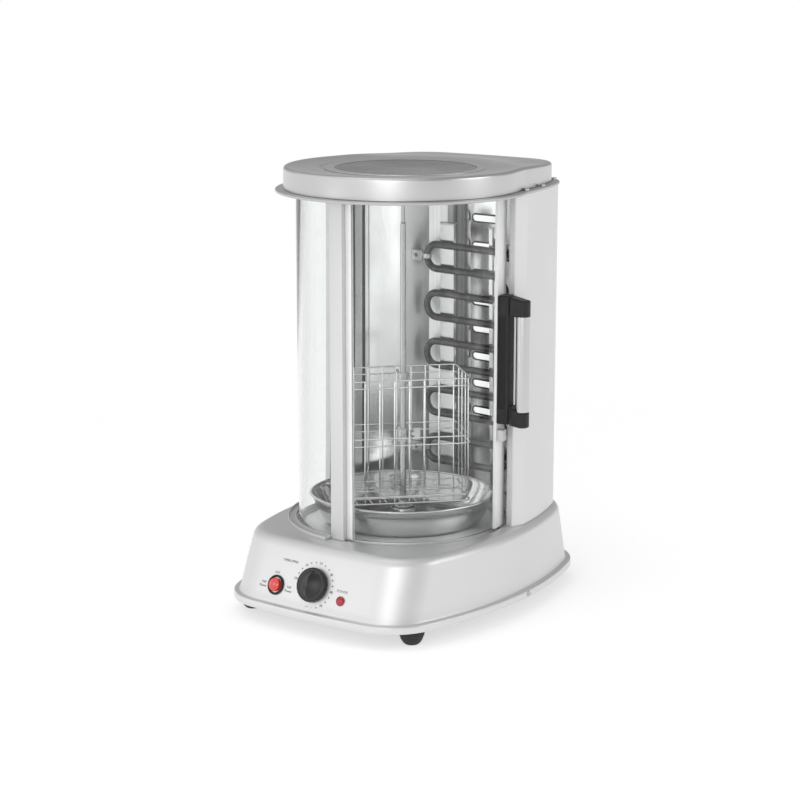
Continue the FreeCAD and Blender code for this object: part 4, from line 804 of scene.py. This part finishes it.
class GRILL_OT_roof(PieceOperator):
    """Roof plate, lid with its rolled rim and rear part, and the dark disc in its bright ring."""
    bl_idname = "grill.roof"
    bl_label = "Roof and lid"

    def make(self, sizes):
        """The lid is one grid of rings whose reach changes with the bearing.

        Reach is the largest of the drum's radius, the rear oval and, between 12 and 38 degrees behind the
        side, radius / cos(bearing - 12 degrees), the straight line that leaves the drum at 12 degrees.
        The crown falls by 3.2 mm in a smooth step from 50 to 150 mm behind the axis.
        """
        steps, drum = sizes.round_steps, 131.0
        plate = [(140, 460.5, 1.2), (140, 463.5, 1.2), (122, 463.5), (122, 467.5, 0.5), (108, 467.5, 0.5),
                 (108, 463.5), (7, 463.5), (7, 460.5), (109, 460.5), (109, 465.5), (118.2, 465.5),
                 (118.2, 460.5)]
        roof = Surface().lathe(plate, steps=steps)
        roof.prism(oval(133.5, 20, 185.5, 20, 61.5, steps=320), 460.52, 463.48, 0.6)
        roof.piece("roof_plate_skin", "base", "roof_satin", ["roof_plate"], slot="silver_skin", sharp=35)
        turn = whole_turn(480)
        rear = oval(124.5, 32.5, 176.5, 22.5, 52.5, steps=480)
        bearing = np.arctan2(rear[:, 1], rear[:, 0]) % TAU
        order = np.argsort(bearing)
        reach = np.maximum(drum, np.interp(turn, bearing[order], np.hypot(*rear.T)[order], period=TAU))
        leaves, meets = math.radians(12), math.radians(38)
        aside = np.arctan2(np.sin(turn), np.abs(np.cos(turn)))
        straight = np.where((aside > leaves) & (aside < meets), drum / np.cos(aside - leaves), 0)
        reach = np.maximum(reach, straight)
        away = np.clip((reach * np.sin(turn) - 50) / 100, 0, 1)
        top = 484.4
        crown = top - 3.2 * away * away * (3 - 2 * away)
        rows = [(reach - 1.2, 463.8), (reach - 0.3, 463.8), (reach, 464.1), (reach, crown)]
        for t in np.radians(np.linspace(12, 90, 8)):
            rows.append((reach - 3.6 * (1 - math.cos(t)), crown + 3.5 * math.sin(t)))
        rows += [(np.minimum(reach - 4, 126.5 + (reach - drum) * 0.6), crown + 3.4),
                 (124.5, crown * 0.6 + top * 0.4 + 3.1), (119, 486.6), (99, 485.9), (93.5, 485.8),
                 (91.8, 485.5), (90.9, 484.8), (60, 484.7), (0.01, 484.7), (0.01, 482), (100, 482),
                 (reach - 4, 479.5), (reach - 1.2, 476)]
        lid = Surface().sheet([at_level(round_points(turn, radius), level) for radius, level in rows],
                              around=True, along=True)
        lid.piece("lid_skin", "base", "lid_satin", ["lid"], slot="silver_skin", sharp=35)
        ring = [(89.7, 485), (89.7, 485.9, 0.5), (87.4, 486, 1.5), (83, 485.5, 3), (78.2, 485.8, 0.6),
                (78.2, 485)]
        disc = [(78.1, 485), (78.1, 485.7, 0.4), (75.5, 485.8, 0.8), (74.4, 485.5, 0.8), (0.01, 485.5),
                (0.01, 485)]
        middle = (0, 5)
        Surface().lathe(ring, middle, steps).piece("lid_disc_ring", "base", "bright_ring",
                                                   slot="lid_black", sharp=0)
        Surface().lathe(disc, middle, steps).piece("lid_disc_skin", "base", "lid_black",
                                                   ["lid_disc"], sharp=35)


class GRILL_OT_pan(PieceOperator):
    """Drip pan with a rolled rim and a collar round the hub."""
    bl_idname = "grill.pan"
    bl_label = "Drip pan"

    def make(self, sizes):
        """A turned section: collar, floor with a shallow step, bowed wall and a rolled rim.

        The wall is r = 84 + 18.3 u^0.66, z = 91.8 + 30.4 u for a share u of its height.
        """
        roll = round_points(np.radians(np.linspace(-62, 205, 14)), 1.5, (103, 123.6))
        rise = np.linspace(0.03, 0.97, 10)
        wall = np.column_stack([84 + 18.3 * rise ** 0.66, 91.8 + 30.4 * rise])
        outside = np.concatenate([[(13.2, 106), (13.2, 91.3), (82.5, 91.3), (84.0, 91.7)], wall])
        floor = [(83.2, 92.6), (81.8, 92.3), (42, 92.3), (40, 92.8), (38, 92.8), (36, 92.3), (16.5, 92.3),
                 (14.9, 93.0), (14.2, 94.4), (14.2, 105.4), (13.9, 106)]
        inside = np.concatenate([wall[::-1] - (1.1, -0.5), floor])
        pan = Surface().lathe(np.concatenate([outside, roll, inside]), steps=sizes.round_steps)
        pan.piece("drip_pan_skin", "pan", "pan_steel", ["drip_pan"], sharp=45)


class GRILL_OT_heater(PieceOperator):
    """Serpentine heating element on one smooth line."""
    bl_idname = "grill.heater"
    bl_label = "Heating element"

    def make(self, sizes):
        """Ten level runs joined by half circles of half the pitch, alternately left and right."""
        pitch, top = 27.05, 374.5
        bend = pitch / 2
        reach = 54 - bend
        path = [np.array([(80.0, top), (70.0, top), (reach + 2, top)])]
        half_turn = np.radians(np.linspace(90, -90, 17))
        for number in range(9):
            side = -1 if number % 2 == 0 else 1
            level = top - number * pitch
            path.append(round_points(half_turn, bend, (reach, level - bend)) * (side, 1))
            if number < 8:
                path.append(np.array([(side * 15.0, level - pitch), (-side * 15.0, level - pitch)]))
        last = top - 9 * pitch
        path.append(np.array([(-10.0, last), (30.0, last), (70.0, last), (80.0, last)]))
        across, up = np.concatenate(path).T
        tube = Surface().sweep(np.column_stack([across, np.full(len(up), 127.0), up]), 4.0, 20, (0, 1, 0))
        tube.piece("heating_tube", "base", "element_sheath", ["heater_element"])


BASKET_TURN = 46.0
BASKET_LEVELS = (119.5, 127.1, 184.1, 192.1, 248.3, 256.0)


def in_basket(points):
    """Points given along the basket's length, depth and height, turned to the basket's own direction."""
    across, deep, up = np.moveaxis(np.asarray(points, float), -1, 0)
    cosine, sine = math.cos(math.radians(BASKET_TURN)), math.sin(math.radians(BASKET_TURN))
    return np.stack([across * cosine - deep * sine, across * sine + deep * cosine, up], -1)


def rounded_loop(half_length, half_depth, corner, level, steps=8):
    """A level loop: straight sides joined by quarter circles."""
    points = []
    for number, (x, y) in enumerate(((1, -1), (1, 1), (-1, 1), (-1, -1))):
        turn = np.radians(np.linspace(-90 + 90 * number, 90 * number, steps))
        points.append(round_points(turn, corner, (x * (half_length - corner), y * (half_depth - corner))))
    return at_level(np.concatenate(points), level)


class GRILL_OT_basket(PieceOperator):
    """Wire basket: level hoops, upright wires and floor wires."""
    bl_idname = "grill.basket"
    bl_label = "Wire basket"

    def make(self, sizes):
        """Round wires on straight lines and rounded loops; the loose ends taper a little."""
        wire, pitch = sizes.wire / MM, 16.5
        hoops = Surface()
        for level in BASKET_LEVELS:
            hoops.sweep(in_basket(rounded_loop(69.0, 38.6, 7.0, level)), wire, 10, closed=True)
        hoops.piece("basket_hoops", "skewer", "basket_wire",
                    ["basket_front_grid", "basket_back_grid"], sharp=0)
        uprights = Surface()
        low, high = BASKET_LEVELS[0] - 0.4, BASKET_LEVELS[-1] + 0.6
        places = [(x, side * 37.1) for x in np.arange(-4, 5) * pitch for side in (-1, 1)]
        places += [(side * 67.5, y) for y in np.arange(-1, 2) * pitch for side in (-1, 1)]
        for x, y in places:
            line = [(x, y, level) for level in (low, low + 0.25, high - 0.25, high)]
            uprights.sweep(in_basket(line), [wire * 0.7, wire, wire, wire * 0.7], 10, (0.3, 1, 0))
        uprights.piece("basket_uprights", "skewer", "basket_wire",
                       ["basket_right_end", "basket_left_end"], sharp=50)
        floor = Surface()
        for x in (np.arange(-4, 4) + 0.5) * pitch:
            floor.sweep(in_basket([(x, y, 119.5) for y in (-37.9, -37.7, -20, 0, 20, 37.7, 37.9)]), wire, 10)
        for y in (-18, 18):
            floor.sweep(in_basket([(x, y, 120.9) for x in (-68.2, -68, -30, 0, 30, 68, 68.2)]), wire, 10)
        floor.piece("basket_floor_wires", "skewer", "basket_wire", ["basket_floor"], sharp=50)


class GRILL_OT_spit(PieceOperator):
    """Spit with its foot, collar and upper pin, and the cross pin at its lower end."""
    bl_idname = "grill.spit"
    bl_label = "Spit"

    def make(self, sizes):
        """One turned (radius, level) section from end to end, and a short tapered bar across it."""
        bar = [(0.01, 99.8), (3.4, 99.8), (4.0, 100.5), (4.0, 106.3), (10.5, 106.3, 0.4), (10.5, 109, 0.8),
               (6, 110.5, 0.6), (3.25, 113, 0.8), (3.25, 419, 0.5), (2.25, 422, 0.5), (2.25, 464.5),
               (1.2, 466), (0.01, 466)]
        spit = Surface().lathe(bar, steps=40, closed=False)
        spit.sweep(in_basket([(x, 0, 104) for x in (-10, -9.6, 9.6, 10)]), [1.1, 1.5, 1.5, 1.1], 14)
        spit.piece("spit_bar", "skewer", "spit_steel", ["spit_rod"], sharp=30)


class GRILL_OT_handle(PieceOperator):
    """Door handle: moulded spine, two brackets and a chromed grip tube."""
    bl_idname = "grill.handle"
    bl_label = "Door handle"

    def make(self, sizes):
        """Upright outlines in (outwards, across), turned to the handle's angle."""
        to_door, grip = turned_frame(99.0), 144.0
        outline = [(117.4, -6.9), (129.4, -6.9), (130.8, -5.4), (130.8, 5.4), (129.4, 6.9), (117.4, 6.9)]
        spine = Surface().prism(outline, 211.5, 353.4, 0.9, to_door)
        spine.piece("handle_spine_moulding", "door", "black_plastic", ["handle_spine"], sharp=28)
        # Painted shade: the face between the brackets, behind the grip, is a darker black than the moulding.
        outline = [(118.2, -7.05), (126.5, -7.05), (130.9, -5.8), (130.95, -5.0), (130.95, 6.0), (118.2, 6.0)]
        recess = Surface().prism(outline, 228, 331, 0.3, to_door)
        recess.piece("handle_recess", "door", "recess_black", slot="black_plastic", sharp=28)
        nose = round_points(np.radians(np.linspace(-90, 90, 17)), 7.9, (grip, 0))
        outline = np.concatenate([[(131.2, -6.9), (133.5, -7.7)], nose, [(133.5, 7.7), (131.2, 6.9)]])
        for name, low in (("lower", 204.5), ("upper", 332.0)):
            bend = self.slimmer_end(low, name == "upper", to_door)
            bracket = Surface().prism(outline, low + 0.05, low + 21.45, 1.3, bend)
            bracket.piece(f"handle_{name}_end", "door", "black_plastic",
                          [f"handle_bracket_{name}"], sharp=28)
        x, y, _ = to_door([grip, 0, 0])
        tube = [(7.5, 226.2, 0.5), (7.5, 331.8, 0.5), (6.5, 331.8), (6.5, 226.2)]
        Surface().lathe(tube, (x, y), 56).piece("grip_tube", "door", "chrome_tube", ["handle_tube"], sharp=35)
        catch = Surface().prism(box(117.4, -5.4, 123.6, 5.4), 191.2, 204.0, 0.8, to_door)
        catch.prism(box(123.5, -2.2, 123.75, 2.2), 194, 201, 0.1, to_door)
        catch.piece("door_catch_moulding", "door", "grey_post", ["door_catch"],
                    slot="black_plastic", sharp=28)

    def slimmer_end(self, low, upper, to_door):
        """A function that bends a bracket 21.5 mm high so that it is slimmer at the grip.

        s is a smooth step of the reach from 130 to 139 mm and u = (z - low) / 21.5.  The lower bracket
        has z' = z + 4.4 (1 - u) s + 7 (1 - s), the upper one z' = z - (1.4 + 3 u) s.
        """
        def bend(grid):
            grid = np.array(grid, float)
            share = np.clip((grid[..., 0] - 130) / 9, 0, 1)
            share = share * share * (3 - 2 * share)
            height = (grid[..., 2] - low) / 21.5
            if upper:
                grid[..., 2] -= (1.4 + 3.0 * height) * share
            else:
                grid[..., 2] += 4.4 * (1 - height) * share + 7.0 * (1 - share)
            return to_door(grid)
        return bend


class GRILL_OT_controls(PieceOperator):
    """Timer knob, rocker switch with its bezel, and the lamp."""
    bl_idname = "grill.controls"
    bl_label = "Knob, switch and lamp"

    def make(self, sizes):
        """Each control stands squarely on the sloping front wall."""
        self.knob(on_front_wall(*DIAL_AT))
        self.switch(on_front_wall(*SWITCH_AT))
        self.lamp(on_front_wall(*LAMP_AT))

    def knob(self, place):
        """A fluted barrel under two hollowed facets.

        The crest is h(s) = 6.5 + 8.4 (1 - s^2)^0.7 along the knob.  Each facet runs from the crest to the
        rim and sags by 1.2 * 4 t (1 - t) on the way, t being the share of the way to the rim.
        """
        turn, rim, shelf, peak = whole_turn(192), 15.4, 6.5, 8.4
        flute = 0.32 * np.clip(np.cos(24 * turn), 0, 1) ** 3
        rows = [(0.01, 0.5, 0), (18.2, 0.5, 0), (18.8, 1.0, 0.6), (18.8, 4.8, 1), (18.3, 6.0, 0.7),
                (17.3, 6.7, 0), (16.2, 6.8, 0), (15.3, 6.4, 0)]
        barrel = [at_level(round_points(turn, radius - share * flute), height)
                  for radius, height, share in rows]
        knob = Surface().sheet(place(np.array(barrel)), around=True, caps=True)
        along = np.sin(np.linspace(-1, 1, 61) * math.pi / 2)[:, None]
        way = np.concatenate([-np.linspace(1, 0.03, 14), [0], np.linspace(0.03, 1, 14)])[None]
        bow = np.clip(1 - along ** 2, 0, 1)
        crest = shelf + peak * bow ** 0.7
        share = np.abs(way)
        sag = 1.2 * 4 * share * (1 - share) * (crest - shelf) / peak
        height = crest + (shelf - crest) * np.hypot(share, 0.03) - sag
        grid = np.stack([(rim * np.sqrt(bow) + 0.01) * way, rim * along + 0 * way, height], -1)
        under = grid[:, ::-1] * (1, 1, 0) + (0, 0, 6.3)
        knob.sheet(place(np.concatenate([grid, under], axis=1)), around=True, caps=True)
        knob.piece("timer_knob_moulding", "knob", "knob_plastic", ["timer_knob"], sharp=30)
        # Painted highlight: thin lighter ribs along the crest and round the facets stand for the light caught
        # by the sharp edges.
        edges = Surface()
        ridge = np.column_stack([0 * along, 15.2 * along, crest + 0.02])[2:-2]
        edges.sweep(place(ridge), 0.2, 8, (1, 0, 0))
        circle = at_level(round_points(whole_turn(96), rim), 6.55)
        edges.sweep(place(circle), 0.18, 8, (0, 0.4, 1), closed=True)
        edges.piece("knob_edges", "knob", "knob_edge", slot="knob_plastic", sharp=0)

    def switch(self, place):
        """A turned bezel; the rocker's face rises by 10 degrees to both sides of its middle line."""
        bezel = [(8.6, -12), (9.2, -12), (9.2, 0.35), (11.0, 0.35), (11.0, 1.3, 0.5), (10.2, 2.3, 0.6),
                 (8.9, 2.3, 0.4), (8.5, 1.7, 0.4), (8.5, -2)]
        frame_ring = Surface().lathe(bezel, steps=64, axis=place)
        frame_ring.piece("switch_bezel", "base", "black_plastic", ["switch_body"], sharp=40)
        turn, slope = whole_turn(56), math.tan(math.radians(10))
        rows = []
        for share, sink in ((1.0, -4.6), (1.0, -0.6), (0.985, -0.2), (0.95, 0), (0.8, 0), (0.5, 0),
                            (0.02, 0)):
            plan = round_points(turn, 7.2 * share)
            rows.append(at_level(plan, 3.3 + np.abs(plan[:, 0]) * slope + sink))
        cap = Surface().sheet(place(np.array(rows)), around=True, caps=True)
        cap.piece("rocker_cap", "rocker", "red_rocker", ["switch_rocker"], sharp=35)
        marks = Surface()
        for text, x in (("I", -4.6), ("O", 0), ("II", 4.4)):
            points, faces = letters(text, 2.6)
            points = points + (x, 0, 0)
            points[:, 2] = 3.36 + np.abs(points[:, 0]) * slope
            marks.patch(place(points), faces)
        marks.piece("rocker_marks", "rocker", "rocker_ink", slot="red_rocker", sharp=0)

    def lamp(self, place):
        """A turned dome: an arc of 6.5 mm radius round a middle 3 mm under the wall."""
        dome = [(0.01, 0.4), (4.9, 0.4), (5.25, 0.9, 0.3)]
        dome += round_points(np.radians(np.linspace(38, 90, 9)), 6.5, (0, -3.0)).tolist()
        lens = Surface().lathe(dome, steps=48, axis=place, closed=False)
        lens.piece("lamp_dome", "base", "red_lens", ["lamp_lens"], sharp=40)


class GRILL_OT_print(PieceOperator):
    """Printed dial: minutes, dots between them, and the words beside the switch and the lamp."""
    bl_idname = "grill.print"
    bl_label = "Dial print"

    def make(self, sizes):
        """Letters and dots lie on the sloping wall, raised by the print's thickness."""
        lift = sizes.print_lift / MM
        dial, switch, lamp = (on_front_wall(*spot) for spot in (DIAL_AT, SWITCH_AT, LAMP_AT))
        ink = Surface()
        marks = {0: "ON", 3: "10", 6: "20", 9: "30", 12: "40", 15: "50", 18: "60"}
        words = []
        for step in range(19):
            spot = round_points(np.radians([172 - step * 15]), 24.6)[0]
            if step in marks:
                words.append((marks[step], spot, 2.8, dial))
            else:
                dot = [at_level(round_points(whole_turn(12), radius, spot), height)
                       for radius, height in ((0.8, 0.0), (0.75, lift), (0.01, lift))]
                ink.sheet(dial(np.array(dot)), around=True)
        words += [("TIMER (MIN)", (-37, 20.5), 2.7, dial), ("OFF", (-2.2, 13.4), 2.9, switch),
                  ("Half", (-17.5, 0.6), 2.7, switch), ("Power", (-18.0, -3.6), 2.7, switch),
                  ("Full", (18.2, 0.8), 2.7, switch), ("Power", (18.2, -3.6), 2.7, switch),
                  ("POWER", (0, 10.2), 2.9, lamp)]
        for text, spot, height, place in words:
            points, faces = letters(text, height)
            ink.patch(place(at_level(points[:, :2] + spot, lift)), faces)
        ink.piece("dial_print", "base", "ink", slot="black_plastic", sharp=0)


def letters(text, height):
    """Flat letters as triangles, centred on the origin, their capitals about the given height."""
    curve = bpy.data.curves.new("word", "FONT")
    curve.body = text
    curve.size = height * 1.38
    curve.align_x = "CENTER"
    curve.align_y = "CENTER"
    curve.resolution_u = 3
    holder = bpy.data.objects.new("word", curve)
    mesh = bpy.data.meshes.new_from_object(holder)
    mesh.calc_loop_triangles()
    points = np.empty(len(mesh.vertices) * 3)
    mesh.vertices.foreach_get("co", points)
    faces = np.empty(len(mesh.loop_triangles) * 3, int)
    mesh.loop_triangles.foreach_get("vertices", faces)
    bpy.data.objects.remove(holder)
    bpy.data.curves.remove(curve)
    bpy.data.meshes.remove(mesh)
    return points.reshape(-1, 3), faces.reshape(-1, 3)


class GRILL_OT_dress(PieceOperator):
    """Gives every node of the frame that still shows the finish its record names."""
    bl_idname = "grill.dress"
    bl_label = "Frame finishes"

    def make(self, sizes):
        """A finish has the name of its slot in the record."""
        for entry in frame["record"]["subparts"]:
            thing = frame["nodes"][entry["node"]]
            thing.data.materials.clear()
            thing.data.materials.append(finish_named(entry["material_slot"]))


class GRILL_OT_stage(PieceOperator):
    """Pale floor, soft light and the camera."""
    bl_idname = "grill.stage"
    bl_label = "Stage"

    def make(self, sizes):
        """The camera stands 2.26 m from the axis, 35 degrees to the right of the front, and looks down."""
        scene = bpy.context.scene
        scene.view_settings.view_transform = "Standard"
        self.floor()
        self.world(scene)
        self.lamp("Key", (0.9, -2.4, 1.0), (0, 0, 0.25), 1.5, 9.5)
        self.lamp("Left", (-0.46, -0.86, 0.14), (-0.08, 0.09, 0.2), 0.46, 0.42)
        self.lamp("Side", (2.3, 0.7, 1.3), (0, 0, 0.3), 1.6, 14)
        self.lamp("Top", (-0.3, -0.2, 2.4), (0, 0, 0.3), 1.5, 5)
        camera = bpy.data.cameras.new("Camera")
        camera.sensor_width = 36
        camera.lens = 93.15
        camera.clip_start, camera.clip_end = 0.1, 50
        bearing, down, distance, height = math.radians(35.03), math.radians(12.45), 2.2604, 0.7244
        aside, ahead = math.sin(bearing), math.cos(bearing)
        look = Vector((-aside * math.cos(down), ahead * math.cos(down), -math.sin(down)))
        look = Matrix.Rotation(math.radians(0.087), 3, "Z") @ look
        holder = bpy.data.objects.new("Camera", camera)
        holder.location = (distance * aside, AXIS_Y * MM - distance * ahead, height)
        holder.rotation_euler = look.to_track_quat("-Z", "Y").to_euler()
        scene.collection.objects.link(holder)
        scene.camera = holder

    def floor(self):
        """A pale square that lights itself a little and fades into the white round it."""
        mesh = bpy.data.meshes.new("floor")
        corners = [(x, y, 0) for x, y in box(-1.6, -1.6, 1.6, 1.6)]
        mesh.from_pydata(corners, [], [(0, 1, 2, 3)])
        floor = bpy.data.objects.new("floor", mesh)
        bpy.context.scene.collection.objects.link(floor)
        f = Finish("pale_floor")
        x, y, _ = f.axes(f.place())
        away = (x * x + y * y) ** 0.5
        f.set(Base_Color=(0.6, 0.6, 0.6), Roughness=0.7, Specular_IOR_Level=0.2, Emission_Color=(1, 1, 1),
              Emission_Strength=0.6, Alpha=away.step(0.55, 1.3, 1.0, 0.0))
        mesh.materials.append(f.material)

    def world(self, scene):
        """White for the camera and through glass; the light comes from a sky with a bright side.

        The sky has strength 1.1 at the front left and 0.3 behind and overhead, and below a low band it
        is plain white.  Mirrored rays see 15 % of the white and the sky for the rest.
        """
        world = bpy.data.worlds.new("studio")
        scene.world = world
        world.use_nodes = True
        t = Tree(world.node_tree)
        seen = t.ray("Glossy") * 0.15 + t.ray("Camera").at_least(t.ray("Transmission"))
        way = t.node("ShaderNodeTexCoord", output="Generated")
        side = t.node("ShaderNodeVectorMath", {"operation": "DOT_PRODUCT"}, {0: way, 1: (-0.47, -0.883, 0)},
                      output="Value")
        sky = side.step(-0.2, 0.95, 0.30, 1.1)
        table = t.axes(way)[2].step(0.0, 0.13, 1.0, 0.0)
        level = t.node("ShaderNodeMix", None, {0: table, 2: sky, 3: 1.0})
        background = world.node_tree.nodes["Background"]
        t.feed(background.inputs["Strength"], t.node("ShaderNodeMix", None, {0: seen, 2: level, 3: 1.0}))
        t.feed(background.inputs["Color"], (1, 1, 1))

    def lamp(self, name, place, target, size, power):
        """A round lamp that faces a target; lengths in metres, power in watts."""
        light = bpy.data.lights.new(name, "AREA")
        light.shape = "DISK"
        light.size = size
        light.energy = power
        holder = bpy.data.objects.new(name, light)
        holder.location = place
        holder.rotation_euler = (Vector(target) - Vector(place)).to_track_quat("-Z", "Y").to_euler()
        bpy.context.scene.collection.objects.link(holder)


PIECES = (GRILL_OT_dress, GRILL_OT_base, GRILL_OT_feet, GRILL_OT_glass, GRILL_OT_trims, GRILL_OT_sheets,
          GRILL_OT_brackets, GRILL_OT_roof, GRILL_OT_pan, GRILL_OT_heater, GRILL_OT_basket, GRILL_OT_spit,
          GRILL_OT_handle, GRILL_OT_controls, GRILL_OT_print, GRILL_OT_stage)


class GRILL_PT_panel(bpy.types.Panel):
    """Lists the pieces, their sizes and their colours."""
    bl_idname = "GRILL_PT_panel"
    bl_label = "Skewer grill"
    bl_space_type = "VIEW_3D"
    bl_region_type = "UI"
    bl_category = "Grill"

    def draw(self, context):
        for group in (context.scene.grill_sizes, context.scene.grill_colours):
            box = self.layout.box()
            for name in type(group).__annotations__:
                box.prop(group, name)
        for piece in PIECES:
            self.layout.operator(piece.bl_idname)


CLASSES = (GrillSizes, GrillColours, *PIECES, GRILL_PT_panel)
COLOURS = None


def register():
    """Adds the operators, the panel and the two property groups of the scene."""
    for kind in CLASSES:
        bpy.utils.register_class(kind)
    bpy.types.Scene.grill_sizes = PointerProperty(type=GrillSizes)
    bpy.types.Scene.grill_colours = PointerProperty(type=GrillColours)


def unregister():
    """Takes away what register adds."""
    del bpy.types.Scene.grill_colours
    del bpy.types.Scene.grill_sizes
    for kind in reversed(CLASSES):
        bpy.utils.unregister_class(kind)


def main():
    """Makes every piece in order."""
    global COLOURS
    register()
    COLOURS = bpy.context.scene.grill_colours
    for piece in PIECES:
        family, name = piece.bl_idname.split(".")
        getattr(getattr(bpy.ops, family), name)()


if __name__ == "__main__":
    main()
